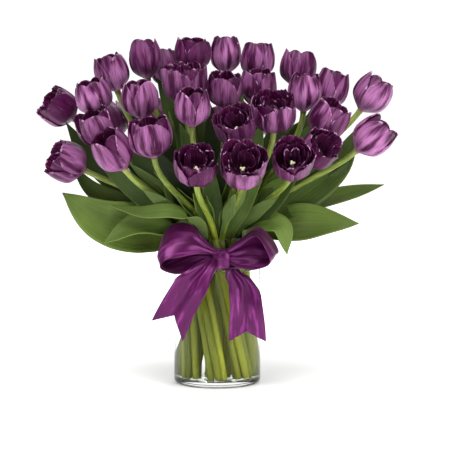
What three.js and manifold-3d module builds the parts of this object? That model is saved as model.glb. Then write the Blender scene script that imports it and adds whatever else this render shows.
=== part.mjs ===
// Purple tulips in a glass cylinder vase tied with a satin ribbon. Millimetres, +Z up.
// The origin is the centre of the vase's underside, and the bow is on the -Y side.
import * as THREE from "three";
import { mergeVertices } from "three/addons/utils/BufferGeometryUtils.js";
import Module from "manifold-3d";

const wasm = await Module();
wasm.setup();

// Driving dimensions
const clearance = 0.3;
const vaseRadius = 50;
const vaseHeight = 170;
const vaseWall = 3;
const vaseBase = 6;
const vaseSides = 32;
const rimRound = 1.2;
const waterLevel = 132;

const stemRadius = 3.8;
const stemSides = 5;
const stemSteps = 3;
const holePlay = 0.4;
const holeDepth = 6;
const neckHeight = 165;
const neckRing = 24;
const bunchRing = 6;
const centreBunchRing = 6.8;
const spiralTwist = THREE.MathUtils.degToRad(60);
const spiralSpread = 1.2;
const bouquetWidthToDepth = 1.35;
const up = new THREE.Vector3(0, 0, 1);
const fanUprightness = 0.5;
const fanLeave = 0.35;
const fanArrive = 0.3;

const petalThickness = 1;
const petalColumns = 12;
const petalSpin = THREE.MathUtils.degToRad(79);
const openHead = 0.5;
const pistilRadius = 2.2;
const stamenRadius = 1.1;

// Shares of a bloom's radius or height: pairs are for a closed and for a flat open head
const petal = {
  valley: [0.46, 0.6], bluntness: 0.4, bellyOut: 0.88, bellyUp: 0.25, shoulderOut: [0.97, 1.02],
  shoulderUp: 0.62, tipOut: [0.62, 1.2], tipUp: [1, 0.9], crease: 0.3, crown: 0.06, innerRing: 0.83,
  floor: 0.16, style: 0.42,
};
const stamen = { rootOut: 0.2, rootUp: 0.13, tipOut: 0.34, tipUp: 0.4 };

const bladeThickness = 0.9;
const leafPlay = 1.05;
const leafInMouth = [[0, 138], [0, 154], [3, 168], [-2, 181]];
const bladeRoot = { limit: 11, share: 0.36, onStem: 0.3 };
const leafOnStem = { start: 0.6, away: 2.5, toward: 0.7 };
const bladeForm = {
  spacing: 1.35, turnFrom: 0.22, turnTo: 0.65, swellFrom: 0.12, swellTo: 0.5, taperFrom: 0.5,
  taperPower: 2.2, least: 0.02, channelRadius: 42, waves: 11, waveShare: 0.06,
};

const bandLow = 136;
const bandHigh = 160;
const bandBulge = 0.8;
const ribbonThickness = 1.2;
const tailForm = { fullAt: 0.4, turnedAt: 0.5, fold: 2 };
const knotCentre = [4.5, -58, 148];
const knotSize = [19, 11, 22];

// Every bloom: centre of the head, the direction it points, its height, its radius, and how far
// it has opened, from 0 for a closed head to 1 for a flat open one.
const blooms = [
  { at: [-83, 15, 373], points: [-0.14, 0.02, 1], height: 46, radius: 19, open: 0.05 },
  { at: [-122, 25, 357], points: [-0.3, -0.1, 1], height: 44, radius: 20, open: 0.05 },
  { at: [-182, 20, 316], points: [-0.75, -0.3, 0.6], height: 42, radius: 22, open: 0.45 },
  { at: [-140, -25, 329], points: [-0.26, -0.15, 1], height: 42, radius: 21, open: 0.1 },
  { at: [-169, -30, 256], points: [-0.85, -0.3, 0.45], height: 44, radius: 23.5, open: 0.4 },
  { at: [-134, -50, 295], points: [-0.36, -0.3, 0.9], height: 42, radius: 22, open: 0.3 },
  { at: [-114, -85, 270], points: [-0.5, -0.35, 0.8], height: 48, radius: 22, open: 0.15 },
  { at: [-86, -45, 327], points: [-0.09, -0.15, 1], height: 44, radius: 21, open: 0.1 },
  { at: [-72, -95, 286], points: [-0.15, -0.22, 1], height: 46, radius: 24.5, open: 0.35 },
  { at: [-37, -30, 345], points: [-0.05, -0.25, 1], height: 50, radius: 25.5, open: 0.7 },
  { at: [-28, 15, 378], points: [0.05, -0.15, 1], height: 40, radius: 21, open: 0.25 },
  { at: [-61, 50, 362], points: [-0.2, 0.15, 1], height: 44, radius: 18, open: 0.1 },
  { at: [-27, -85, 318], points: [0, -0.2, 1], height: 42, radius: 20, open: 0.05 },
  { at: [-22, -130, 255], points: [0, -0.7, 0.8], height: 42, radius: 23, open: 0.6 },
  { at: [10, 40, 378], points: [0, 0.05, 1], height: 44, radius: 18, open: 0 },
  { at: [46, 20, 371], points: [0.05, 0, 1], height: 42, radius: 20, open: 0.05 },
  { at: [94, 35, 362], points: [0.12, 0.1, 1], height: 44, radius: 21, open: 0.05 },
  { at: [99, -25, 335], points: [0.06, -0.1, 1], height: 44, radius: 19, open: 0 },
  { at: [131, 18, 338], points: [0.3, 0.05, 1], height: 46, radius: 20, open: 0.15 },
  { at: [179, 15, 332], points: [0.6, 0, 0.8], height: 46, radius: 22, open: 0.05 },
  { at: [176, -30, 284], points: [0.75, -0.15, 0.65], height: 48, radius: 22, open: 0.15 },
  { at: [124, -45, 304], points: [0.46, -0.27, 0.9], height: 46, radius: 22, open: 0.3 },
  { at: [63, -75, 312], points: [0, -0.55, 0.9], height: 46, radius: 24.5, open: 0.6 },
  { at: [9, -40, 337], points: [0, -0.3, 1], height: 42, radius: 20, open: 0.4 },
  { at: [46, -20, 342], points: [0.05, -0.15, 1], height: 40, radius: 20, open: 0.3 },
  { at: [21, -95, 297], points: [-0.2, -0.6, 0.85], height: 42, radius: 22, open: 0.65 },
  { at: [28, -133, 255], points: [0.02, -0.8, 0.7], height: 47, radius: 24.5, open: 0.8 },
  { at: [82, -112, 260], points: [0.02, -0.8, 0.65], height: 40, radius: 22, open: 0.7 },
  { at: [113, -75, 271], points: [0.55, -0.7, 0.65], height: 42, radius: 21, open: 0.6 },
  { at: [-126, 78, 300], points: [-0.5, 0.46, 0.8], height: 44, radius: 21, open: 0.1 },
  { at: [-70, 102, 302], points: [-0.25, 0.6, 0.85], height: 44, radius: 22, open: 0.2 },
  { at: [0, 112, 290], points: [0, 0.65, 0.8], height: 46, radius: 23.5, open: 0.5 },
  { at: [70, 102, 299], points: [0.25, 0.6, 0.85], height: 44, radius: 21, open: 0.1 },
  { at: [126, 76, 297], points: [0.5, 0.45, 0.8], height: 44, radius: 22, open: 0.3 },
  { at: [-28, 76, 338], points: [-0.1, 0.35, 1], height: 44, radius: 20, open: 0.05 },
  { at: [50, 72, 336], points: [0.15, 0.35, 1], height: 44, radius: 20, open: 0.15 },
];

// The large leaves: root is the direction on the vase's wall where the leaf leaves the mouth,
// way is the line of its rib beyond the rim, faces is where its upper side looks further out.
const largeLeaves = [
  {
    name: "leaf_left_broad", root: 187, width: 58, faces: [-0.1, -0.9, 0.4],
    way: [[-84, -16, 180], [-127, -32, 191], [-177, -30, 220]],
  },
  {
    name: "leaf_left_low", root: 218, width: 40, faces: [-0.3, -0.8, 0.6],
    way: [[-65, -36, 187], [-96, -50, 184], [-126, -58, 167]],
  },
  {
    name: "leaf_front_slender", root: 250, width: 19, faces: [-0.1, -0.8, 0.6],
    way: [[-26, -62, 193], [-50, -66, 203], [-84, -64, 202], [-121, -62, 210]],
  },
  {
    name: "leaf_right_droop", root: 322, width: 25, faces: [0.4, -0.7, 0.5],
    way: [[59, -41, 187], [76, -46, 183], [82, -49, 152]],
  },
  {
    name: "leaf_right_broad", root: 347, width: 40, faces: [0.2, -0.85, 0.6],
    way: [[80, -22, 186], [120, -32, 190], [160, -38, 187]],
  },
  {
    name: "leaf_right_long", root: 14, width: 28, faces: [0, -0.7, 0.7],
    way: [[80, 16, 202], [135, 18, 217], [194, 14, 229]],
  },
  {
    name: "leaf_back_right", root: 50, width: 36, faces: [0.3, 0.6, 0.8],
    way: [[58, 68, 192], [88, 98, 203], [120, 124, 192]],
  },
  {
    name: "leaf_back", root: 96, width: 34, faces: [0, 0.7, 0.7],
    way: [[-8, 80, 195], [-14, 115, 204], [-24, 150, 190]],
  },
  {
    name: "leaf_back_left", root: 142, width: 40, faces: [-0.4, 0.6, 0.7],
    way: [[-66, 54, 194], [-100, 82, 206], [-138, 104, 200]],
  },
];

// Leaves on the stems: which bloom's stem, how far up its free part, the side of the stem it
// grows on as a direction in plan, and the leaf's own size.
const stemLeaves = [
  { stem: 7, from: 0.1, side: 80, length: 80, width: 24, bend: 0.15 },
  { stem: 9, from: 0.2, side: 200, length: 80, width: 22, bend: 0.2 },
  { stem: 27, from: 0.25, side: 310, length: 62, width: 20, bend: 0.2 },
  { stem: 28, from: 0.2, side: 60, length: 76, width: 22, bend: 0.2 },
  { stem: 29, from: 0.2, side: 80, length: 75, width: 20, bend: 0.2 },
  { stem: 21, from: 0.08, side: 100, length: 150, width: 32, bend: 0.1 },
  { stem: 13, from: 0.2, side: 170, length: 90, width: 20, bend: 0.15 },
  { stem: 30, from: 0.2, side: 200, length: 80, width: 22, bend: 0.2 },
  { stem: 34, from: 0.2, side: 20, length: 80, width: 22, bend: 0.2 },
];

// The bow: the two edges of each loop, and each tail's middle line, half widths, notch and tilt
const loops = [
  {
    name: "ribbon_loop_left",
    back: [
      [-5.8, -57, 158], [-16, -55, 172], [-29, -53, 186], [-52, -51, 185],
      [-65, -54, 147], [-47, -56, 154], [-24, -56, 161], [-5.8, -57, 154],
    ],
    front: [
      [-5.8, -61, 153], [-19, -70, 155], [-39, -80, 153], [-58, -86, 149],
      [-62, -86, 142], [-44, -80, 135], [-23, -69, 140], [-5.8, -61, 144],
    ],
  },
  {
    name: "ribbon_loop_right",
    back: [
      [14.6, -57, 158], [29, -55, 172], [46, -53, 185], [62, -52, 172],
      [69, -54, 156], [57, -56, 161], [37, -56, 165], [14.6, -57, 154],
    ],
    front: [
      [14.6, -61, 155], [29, -70, 168], [43, -82, 176], [52, -88, 166],
      [56, -84, 149], [43, -78, 142], [26, -69, 141], [14.6, -61, 144],
    ],
  },
];
const tails = [
  {
    name: "ribbon_tail_left", half: [7, 20], notch: 0.2, tilt: -0.6,
    way: [[-7, -63.6, 149], [-13, -77, 140], [-27, -80, 123], [-42, -73, 97], [-56, -66, 68]],
  },
  {
    name: "ribbon_tail_right", half: [8, 20], notch: 0.14, tilt: 0,
    way: [[16, -57, 136.5], [27, -58, 118], [32, -60, 95], [34, -58, 55]],
  },
];

// Materials
const glassMaterial = new THREE.MeshStandardMaterial({
  color: 0xdfe9e8, roughness: 0.05, metalness: 0, transparent: true, opacity: 0.35,
});
const waterMaterial = new THREE.MeshStandardMaterial({
  color: 0xcfdcc8, roughness: 0.05, metalness: 0, transparent: true, opacity: 0.4,
});
const ribbonMaterial = new THREE.MeshStandardMaterial({ color: 0x6a1f6e, roughness: 0.35, metalness: 0 });
const petalMaterial = new THREE.MeshStandardMaterial({ color: 0x5b1a5e, roughness: 0.5, metalness: 0 });
const stemMaterial = new THREE.MeshStandardMaterial({ color: 0x7c9c45, roughness: 0.5, metalness: 0 });
const leafMaterial = new THREE.MeshStandardMaterial({ color: 0x4d7a33, roughness: 0.5, metalness: 0 });

// Joining and cutting
function toSolid(geometry) {
  const bare = geometry.clone();
  bare.deleteAttribute("normal");
  bare.deleteAttribute("uv");
  const merged = mergeVertices(bare, 1e-4);
  return new wasm.Manifold(new wasm.Mesh({
    numProp: 3,
    vertProperties: new Float32Array(merged.getAttribute("position").array),
    triVerts: new Uint32Array(merged.getIndex().array),
  }));
}

function toGeometry(solid) {
  const mesh = solid.getMesh();
  const geometry = new THREE.BufferGeometry();
  geometry.setAttribute("position", new THREE.BufferAttribute(mesh.vertProperties, 3));
  geometry.setIndex(new THREE.BufferAttribute(mesh.triVerts, 1));
  geometry.computeVertexNormals();
  return geometry;
}

function fuse(geometries) {
  return geometries.map(toSolid).reduce((whole, piece) => whole.add(piece));
}

// Shapes that several pieces share
function turned(profile, sides) {
  const points = profile.map(([radius, height]) => new THREE.Vector2(radius, height));
  return new THREE.LatheGeometry(points, sides).rotateX(Math.PI / 2);
}

function curveThrough(points) {
  return new THREE.CatmullRomCurve3(points.map((point) => new THREE.Vector3(...point)), false, "centripetal");
}

// A closed thin blade over pointAt(u, v), u from -1 to 1 across and v from 0 to 1 along it. Both
// faces are split alike, and a pointed blade ends in one point.
function blade({ rows, columns, thickness, pointed, pointAt }) {
  const fronts = [];
  const backs = [];
  const step = 0.02;
  const normalAt = (u, v) => {
    const near = Math.min(v, 1 - step);
    const across = pointAt(u + step, near).sub(pointAt(u - step, near));
    const along = pointAt(u, near + step).sub(pointAt(u, Math.max(near - step, 0)));
    return across.cross(along).normalize();
  };
  const place = (u, v) => {
    const front = pointAt(u, v);
    fronts.push(front);
    backs.push(front.clone().addScaledVector(normalAt(u, v), -thickness));
  };
  const fullRows = pointed ? rows - 1 : rows;
  for (let row = 0; row <= fullRows; row += 1) {
    for (let column = 0; column <= columns; column += 1) {
      place(-1 + (2 * column) / columns, row / rows);
    }
  }
  if (pointed) {
    place(0, 1);
  }
  const count = fronts.length;
  const index = (row, column) => (row > fullRows ? count - 1 : row * (columns + 1) + column);
  const triangles = [];
  const addTriangle = (a, b, c) => {
    if (a !== b && b !== c && c !== a) {
      triangles.push(a, b, c);
    }
  };
  for (let row = 0; row < rows; row += 1) {
    for (let column = 0; column < columns; column += 1) {
      const a = index(row, column);
      const b = index(row, column + 1);
      const c = index(row + 1, column + 1);
      const d = index(row + 1, column);
      addTriangle(a, b, c);
      addTriangle(a, c, d);
      addTriangle(count + c, count + b, count + a);
      if (c !== d) {
        addTriangle(count + d, count + c, count + a);
      }
    }
  }
  const edge = [];
  for (let column = 0; column < columns; column += 1) {
    edge.push(index(0, column));
  }
  for (let row = 0; row < rows; row += 1) {
    edge.push(index(row, columns));
  }
  if (pointed) {
    edge.push(index(rows, 0));
  } else {
    for (let column = columns; column > 0; column -= 1) {
      edge.push(index(rows, column));
    }
  }
  for (let row = pointed ? rows - 1 : rows; row > 0; row -= 1) {
    edge.push(index(row, 0));
  }
  edge.forEach((from, place) => {
    const to = edge[(place + 1) % edge.length];
    triangles.push(from, count + from, count + to, from, count + to, to);
  });
  const geometry = new THREE.BufferGeometry();
  geometry.setFromPoints([...fronts, ...backs]);
  geometry.setIndex(triangles);
  return geometry;
}

// Vase and water
function vaseGeometry() {
  const inner = vaseRadius - vaseWall;
  return turned([
    [0, 0],
    [vaseRadius - rimRound, 0],
    [vaseRadius, rimRound],
    [vaseRadius, vaseHeight - rimRound],
    [vaseRadius - rimRound, vaseHeight],
    [inner + rimRound, vaseHeight],
    [inner, vaseHeight - rimRound],
    [inner, vaseBase],
    [0, vaseBase],
  ], vaseSides);
}

function waterSolid(stemHoles) {
  const radius = vaseRadius - vaseWall - clearance;
  const bottom = vaseBase + clearance;
  const profile = [[0, bottom], [radius, bottom], [radius, waterLevel], [0, waterLevel]];
  const column = toSolid(turned(profile, vaseSides));
  return column.subtract(fuse(stemHoles));
}

// Stems: straight and twisted like a rope from the vase's base to its neck, then fanned out
class StemPath extends THREE.Curve {
  constructor(foot, neck, head, headAxis) {
    super();
    this.foot = foot;
    this.neck = neck;
    const reach = head.distanceTo(neck);
    const rise = head.clone().sub(neck).normalize().lerp(up, fanUprightness).normalize();
    this.fan = new THREE.CubicBezierCurve3(
      neck,
      neck.clone().addScaledVector(rise, reach * fanLeave),
      head.clone().addScaledVector(headAxis, -reach * fanArrive),
      head,
    );
    this.share = 1 / (stemSteps + 1);
  }

  getPoint(t) {
    if (t < this.share) {
      return this.foot.clone().lerp(this.neck, t / this.share);
    }
    return this.fan.getPoint((t - this.share) / (1 - this.share));
  }

  getUtoTmapping(u) {
    return u;
  }
}

function polygon(radius, sides) {
  const shape = new THREE.Shape();
  for (let side = 0; side < sides; side += 1) {
    const angle = (2 * Math.PI * side) / sides;
    const [x, y] = [radius * Math.cos(angle), radius * Math.sin(angle)];
    if (side === 0) {
      shape.moveTo(x, y);
    } else {
      shape.lineTo(x, y);
    }
  }
  shape.closePath();
  return shape;
}

function tube(path, radius, sides, steps) {
  return new THREE.ExtrudeGeometry(polygon(radius, sides), {
    steps,
    extrudePath: path,
    bevelEnabled: false,
  });
}

function planAngle(point) {
  return Math.atan2(point.y, point.x / bouquetWidthToDepth);
}

function headOf(bloom) {
  const axis = new THREE.Vector3(...bloom.points).normalize();
  const base = new THREE.Vector3(...bloom.at).addScaledVector(axis, -bloom.height / 2);
  return { axis, base };
}

// The stems nearest the middle make the centre bunch, and the rest are dealt to six bunches
// round it by the direction of their blooms.
function dealBunches() {
  const stems = blooms.map((bloom, number) => ({ number, ...headOf(bloom) }));
  stems.sort((a, b) => Math.hypot(a.base.x / bouquetWidthToDepth, a.base.y)
    - Math.hypot(b.base.x / bouquetWidthToDepth, b.base.y));
  const inner = stems.slice(0, 6);
  const outer = stems.slice(6).sort((a, b) => planAngle(a.base) - planAngle(b.base));
  const bunches = [{ centre: new THREE.Vector2(0, 0), stems: inner }];
  for (let bunch = 0; bunch < 6; bunch += 1) {
    const angle = -Math.PI + ((bunch + 0.5) * Math.PI) / 3;
    bunches.push({
      centre: new THREE.Vector2(neckRing * Math.cos(angle), neckRing * Math.sin(angle)),
      stems: outer.slice(bunch * 5, bunch * 5 + 5),
    });
  }
  return bunches;
}

// Places in a bunch: five in a ring, and a sixth in its middle, matched to the blooms' order.
function placeInBunch(bunch) {
  const middle = new THREE.Vector2();
  bunch.stems.forEach((stem) => middle.add(new THREE.Vector2(stem.base.x, stem.base.y)));
  middle.divideScalar(bunch.stems.length);
  const away = (stem) => new THREE.Vector2(stem.base.x, stem.base.y).sub(middle);
  const byDistance = [...bunch.stems].sort((a, b) => away(a).length() - away(b).length());
  const centred = bunch.stems.length > 5 ? byDistance.slice(0, 1) : [];
  const ring = byDistance.slice(centred.length).sort((a, b) => away(a).angle() - away(b).angle());
  const radius = centred.length > 0 ? centreBunchRing : bunchRing;
  const slot = (turn, place) => {
    const angle = ((turn / 8 + place) * 2 * Math.PI) / 5;
    return new THREE.Vector2(radius * Math.cos(angle), radius * Math.sin(angle));
  };
  const fit = (turn) => ring.reduce(
    (sum, stem, place) => sum + slot(turn, place).dot(away(stem).normalize()),
    0,
  );
  let best = 0;
  for (let turn = 1; turn < 40; turn += 1) {
    best = fit(turn) > fit(best) ? turn : best;
  }
  ring.forEach((stem, place) => {
    stem.neck = slot(best, place).add(bunch.centre);
  });
  centred.forEach((stem) => {
    stem.neck = bunch.centre.clone();
  });
}

function stemPath(stem) {
  const footPlace = stem.neck.clone()
    .rotateAround(new THREE.Vector2(), spiralTwist)
    .multiplyScalar(spiralSpread);
  const lift = vaseBase + clearance + stemRadius * 0.4;
  const foot = new THREE.Vector3(footPlace.x, footPlace.y, lift);
  const neck = new THREE.Vector3(stem.neck.x, stem.neck.y, neckHeight);
  const head = stem.base.clone().addScaledVector(stem.axis, -clearance);
  return new StemPath(foot, neck, head, stem.axis);
}

function stemHole(path) {
  const down = path.foot.clone().sub(path.neck).normalize();
  const line = new THREE.LineCurve3(path.foot.clone().addScaledVector(down, holeDepth), path.neck);
  return tube(line, stemRadius + holePlay, stemSides, 1);
}

// Blooms. A head is one closed skin: up the outside of the three outer petals, down behind them
// to a crease, up the outside of the three inner petals and down their inside to the floor.
function petalReach(bloom, angle, turn) {
  const shape = Math.cos((3 * (angle - turn)) / 2) ** 2;
  const valley = THREE.MathUtils.lerp(...petal.valley, bloom.open);
  return THREE.MathUtils.lerp(valley, 1, shape ** petal.bluntness);
}

function petalProfile(bloom) {
  const { radius, height, open } = bloom;
  const mix = THREE.MathUtils.lerp;
  return new THREE.SplineCurve([
    new THREE.Vector2(stemRadius, 0),
    new THREE.Vector2(radius * petal.bellyOut, height * petal.bellyUp),
    new THREE.Vector2(radius * mix(...petal.shoulderOut, open), height * petal.shoulderUp),
    new THREE.Vector2(radius * mix(...petal.tipOut, open), height * mix(...petal.tipUp, open)),
  ]);
}

function bloomRings(bloom) {
  const profile = petalProfile(bloom);
  const { crease } = petal;
  const isOpen = bloom.open > openHead;
  const wall = (layer, share, inset) => (angle) => {
    const turn = layer === 0 ? 0 : Math.PI / 3;
    const reach = petalReach(bloom, angle, turn);
    const above = (share - crease) / (1 - crease);
    const place = share < crease ? share * reach : THREE.MathUtils.lerp(crease, reach, above);
    const [ring, level] = profile.getPoint(place).toArray();
    const crown = 1 - petal.crown * Math.sin((3 * (angle - turn)) / 2) ** 2 * Math.min(1, place * 3);
    return [ring * (layer === 0 ? 1 : petal.innerRing) * crown - inset, level];
  };
  const outer = (isOpen ? [0.2, 0.5, 0.75, 1] : [0.24, 0.62, 1]).map((share) => wall(0, share, 0));
  const behind = [1, 0.65].map((share) => wall(0, share, petalThickness));
  const creaseRing = wall(0, crease, petalThickness * 1.6);
  const inner = [0.65, 1].map((share) => wall(1, share, 0));
  const inside = (isOpen ? [1, 0.65, crease] : [1]).map((share) => wall(1, share, petalThickness));
  const rings = [() => [0, 0], () => [stemRadius, 0], ...outer, ...behind, creaseRing, ...inner, ...inside];
  const floor = bloom.height * petal.floor;
  if (isOpen) {
    const style = bloom.height * petal.style;
    rings.push(() => [pistilRadius, floor], () => [pistilRadius, style], () => [0, style + 1]);
  } else {
    rings.push(() => [0, floor]);
  }
  return rings;
}

function bloomGeometry(bloom) {
  const rings = bloomRings(bloom);
  const points = [];
  const triangles = [];
  rings.forEach((ring) => {
    for (let column = 0; column < petalColumns; column += 1) {
      const angle = (2 * Math.PI * column) / petalColumns;
      const [radius, level] = ring(angle);
      points.push(new THREE.Vector3(radius * Math.cos(angle), radius * Math.sin(angle), level));
    }
  });
  for (let row = 0; row < rings.length - 1; row += 1) {
    for (let column = 0; column < petalColumns; column += 1) {
      const next = (column + 1) % petalColumns;
      const [a, b] = [row * petalColumns + column, row * petalColumns + next];
      const [c, d] = [b + petalColumns, a + petalColumns];
      if (row > 0) {
        triangles.push(a, b, c);
      }
      if (row < rings.length - 2) {
        triangles.push(a, c, d);
      }
    }
  }
  const geometry = new THREE.BufferGeometry().setFromPoints(points);
  geometry.setIndex(triangles);
  return geometry;
}

function stamenGeometries(bloom) {
  return [0, 1, 2, 3, 4, 5].map((number) => {
    const angle = ((number + 0.5) * Math.PI) / 3;
    const lean = new THREE.Vector3(Math.cos(angle), Math.sin(angle), 0);
    const root = lean.clone().multiplyScalar(bloom.radius * stamen.rootOut).setZ(bloom.height * stamen.rootUp);
    const tip = lean.clone().multiplyScalar(bloom.radius * stamen.tipOut).setZ(bloom.height * stamen.tipUp);
    return tube(new THREE.LineCurve3(root, tip), stamenRadius, 3, 1);
  });
}

function bloomSolid(bloom) {
  const head = bloomGeometry(bloom);
  return bloom.open > openHead ? fuse([head, ...stamenGeometries(bloom)]) : toSolid(head);
}

// Leaves
function leafBlade({ way, width, baseFaces, tipFaces, rows, columns, wave, rootWidth }) {
  const form = bladeForm;
  const rib = curveThrough(way);
  const pointAt = (u, v) => {
    const along = THREE.MathUtils.clamp(v, 0, 1) ** form.spacing;
    const centre = rib.getPointAt(along);
    const tangent = rib.getTangentAt(along);
    const turn = THREE.MathUtils.smoothstep(along, form.turnFrom, form.turnTo);
    const faces = baseFaces.clone().lerp(tipFaces, turn);
    const across = tangent.clone().cross(faces).normalize();
    const normal = across.clone().cross(tangent).normalize();
    const grown = THREE.MathUtils.smoothstep(along, form.swellFrom, form.swellTo);
    const swell = THREE.MathUtils.lerp(rootWidth, 1, grown);
    const taper = 1 - Math.max(0, (along - form.taperFrom) / (1 - form.taperFrom)) ** form.taperPower;
    const half = (width / 2) * Math.max(swell * taper, form.least);
    const channel = (half * half) / (2 * form.channelRadius);
    const ripple = wave * u * Math.sin(along * form.waves + width) * along * (1 - along) * 4;
    return centre.addScaledVector(across, u * half).addScaledVector(normal, channel * u * u + ripple);
  };
  return blade({ rows, columns, thickness: bladeThickness, pointed: true, pointAt });
}

// A leaf that grows from a stem above the neck and stands up beside it
function stemLeaf(path, grow) {
  const start = path.fan.getPoint(grow.from);
  const tangent = path.fan.getTangent(grow.from);
  const side = THREE.MathUtils.degToRad(grow.side);
  const outward = new THREE.Vector3(Math.cos(side), Math.sin(side), 0);
  const along = (share, out) => start.clone()
    .addScaledVector(tangent, grow.length * share)
    .addScaledVector(outward, out)
    .toArray();
  const lean = grow.length * grow.bend;
  const { start: root, away, toward } = leafOnStem;
  return leafBlade({
    way: [along(0, stemRadius * root), along(0.33, stemRadius * away), along(0.66, lean * toward), along(1, lean)],
    width: grow.width,
    baseFaces: outward.clone().negate(),
    tipFaces: outward.clone().negate(),
    rows: 5,
    columns: 2,
    wave: 1,
    rootWidth: bladeRoot.onStem,
  });
}

function largeLeaf(leaf) {
  const angle = THREE.MathUtils.degToRad(leaf.root);
  const outward = new THREE.Vector3(Math.cos(angle), Math.sin(angle), 0);
  const onWall = (radius, height) => [outward.x * radius, outward.y * radius, height];
  const seat = vaseRadius - vaseWall - bladeThickness - leafPlay;
  return leafBlade({
    way: [...leafInMouth.map(([inward, height]) => onWall(seat - inward, height)), ...leaf.way],
    width: leaf.width,
    baseFaces: outward.clone().negate(),
    tipFaces: new THREE.Vector3(...leaf.faces).normalize(),
    rows: 8,
    columns: 4,
    wave: leaf.width * bladeForm.waveShare,
    rootWidth: Math.min(bladeRoot.share, bladeRoot.limit / leaf.width),
  });
}

// Ribbon
function bandGeometry() {
  const inside = vaseRadius + clearance;
  const outside = inside + ribbonThickness;
  const middle = (bandLow + bandHigh) / 2;
  return turned([
    [inside, bandLow],
    [outside, bandLow],
    [outside + bandBulge, middle],
    [outside, bandHigh],
    [inside, bandHigh],
    [inside, bandLow],
  ], vaseSides);
}

function knotGeometry() {
  const [width, depth, height] = knotSize;
  const outline = new THREE.Shape();
  outline.absellipse(0, 0, width / 2, depth / 2, 0, 2 * Math.PI);
  const body = new THREE.ExtrudeGeometry(outline, { depth: height, bevelEnabled: false, curveSegments: 6 });
  return body.translate(knotCentre[0], knotCentre[1], knotCentre[2] - height / 2);
}

// A loop leaves the knot's top, turns round at its far end and comes back to the knot's bottom.
function loopGeometry({ back, front }) {
  const [backLine, frontLine] = [curveThrough(back), curveThrough(front)];
  const pointAt = (u, v) => {
    const along = THREE.MathUtils.clamp(v, 0, 1);
    return backLine.getPoint(along).lerp(frontLine.getPoint(along), (u + 1) / 2);
  };
  return blade({ rows: 16, columns: 2, thickness: ribbonThickness, pointed: false, pointAt });
}

function tailGeometry({ way, half, notch, tilt }) {
  const line = curveThrough(way);
  const pointAt = (u, v) => {
    const reach = 1 - notch * (1 - Math.abs(u));
    const along = THREE.MathUtils.clamp(v * reach, 0, 1);
    const centre = line.getPoint(along);
    const spread = THREE.MathUtils.lerp(...half, THREE.MathUtils.smoothstep(along, 0, tailForm.fullAt));
    const fold = tailForm.fold * Math.sin(u * 3 + along * 4);
    const turn = tilt * THREE.MathUtils.smoothstep(along, 0, tailForm.turnedAt);
    return new THREE.Vector3(
      centre.x + u * spread * Math.cos(turn),
      centre.y + fold,
      centre.z + u * spread * Math.sin(turn),
    );
  };
  return blade({ rows: 7, columns: 4, thickness: ribbonThickness, pointed: false, pointAt });
}

// Assembly
const tulipsInVase = new THREE.Group();

function addPiece(name, shape, material) {
  const geometry = shape.isBufferGeometry ? shape : toGeometry(shape);
  const mesh = new THREE.Mesh(geometry, material);
  mesh.name = name;
  tulipsInVase.add(mesh);
}

addPiece("vase", toSolid(vaseGeometry()), glassMaterial);

const bunches = dealBunches();
const holes = [];
bunches.forEach((bunch, number) => {
  placeInBunch(bunch);
  const paths = bunch.stems.map(stemPath);
  holes.push(...paths.map(stemHole));
  const stems = paths.map((path) => tube(path, stemRadius, stemSides, stemSteps + 1));
  stemLeaves.filter((grow) => bunch.stems.some((stem) => stem.number === grow.stem - 1)).forEach((grow) => {
    stems.push(stemLeaf(paths[bunch.stems.findIndex((stem) => stem.number === grow.stem - 1)], grow));
  });
  addPiece(`stems_${number + 1}`, fuse(stems), stemMaterial);
});
addPiece("water", waterSolid(holes), waterMaterial);

blooms.forEach((bloom, number) => {
  const { axis, base } = headOf(bloom);
  const solid = toGeometry(bloomSolid(bloom));
  solid.rotateZ(number * petalSpin);
  solid.applyQuaternion(new THREE.Quaternion().setFromUnitVectors(up, axis));
  solid.translate(base.x, base.y, base.z);
  addPiece(`bloom_${String(number + 1).padStart(2, "0")}`, solid, petalMaterial);
});

largeLeaves.forEach((leaf) => addPiece(leaf.name, toSolid(largeLeaf(leaf)), leafMaterial));

addPiece("ribbon_band", toSolid(bandGeometry()), ribbonMaterial);
addPiece("ribbon_knot", toSolid(knotGeometry()), ribbonMaterial);
loops.forEach((loop) => addPiece(loop.name, toSolid(loopGeometry(loop)), ribbonMaterial));
tails.forEach((tail) => addPiece(tail.name, toSolid(tailGeometry(tail)), ribbonMaterial));

export default tulipsInVase;
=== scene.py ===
# Purple tulips in a glass cylinder vase tied with a satin ribbon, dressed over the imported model.
import math
import random

import bpy
from mathutils import Matrix, Vector


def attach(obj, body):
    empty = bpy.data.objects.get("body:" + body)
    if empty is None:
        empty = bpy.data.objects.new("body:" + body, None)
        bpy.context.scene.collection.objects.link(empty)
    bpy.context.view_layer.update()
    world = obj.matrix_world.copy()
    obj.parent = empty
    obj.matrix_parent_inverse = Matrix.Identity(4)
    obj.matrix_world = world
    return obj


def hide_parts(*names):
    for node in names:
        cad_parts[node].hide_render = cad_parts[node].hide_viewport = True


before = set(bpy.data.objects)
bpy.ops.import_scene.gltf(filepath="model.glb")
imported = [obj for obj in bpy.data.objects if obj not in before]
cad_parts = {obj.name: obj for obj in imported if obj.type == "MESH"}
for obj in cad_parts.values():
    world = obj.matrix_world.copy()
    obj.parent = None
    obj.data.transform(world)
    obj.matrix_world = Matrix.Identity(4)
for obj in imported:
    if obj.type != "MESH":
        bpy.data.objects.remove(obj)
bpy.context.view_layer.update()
up = Vector((0, 0, 1))
metres = 0.001  # lengths below are millimetres unless they say metres
print("frame loaded:", len(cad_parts), "nodes")


# the photograph's view: places in metres, lens and sensor in millimetres
view = {
    "place": (0.009, -2.0, 0.345), "aim": (0.009, 0.0, 0.182), "lens": 139.5, "sensor": 36.0,
    "farthest": 50.0,
}


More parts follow.
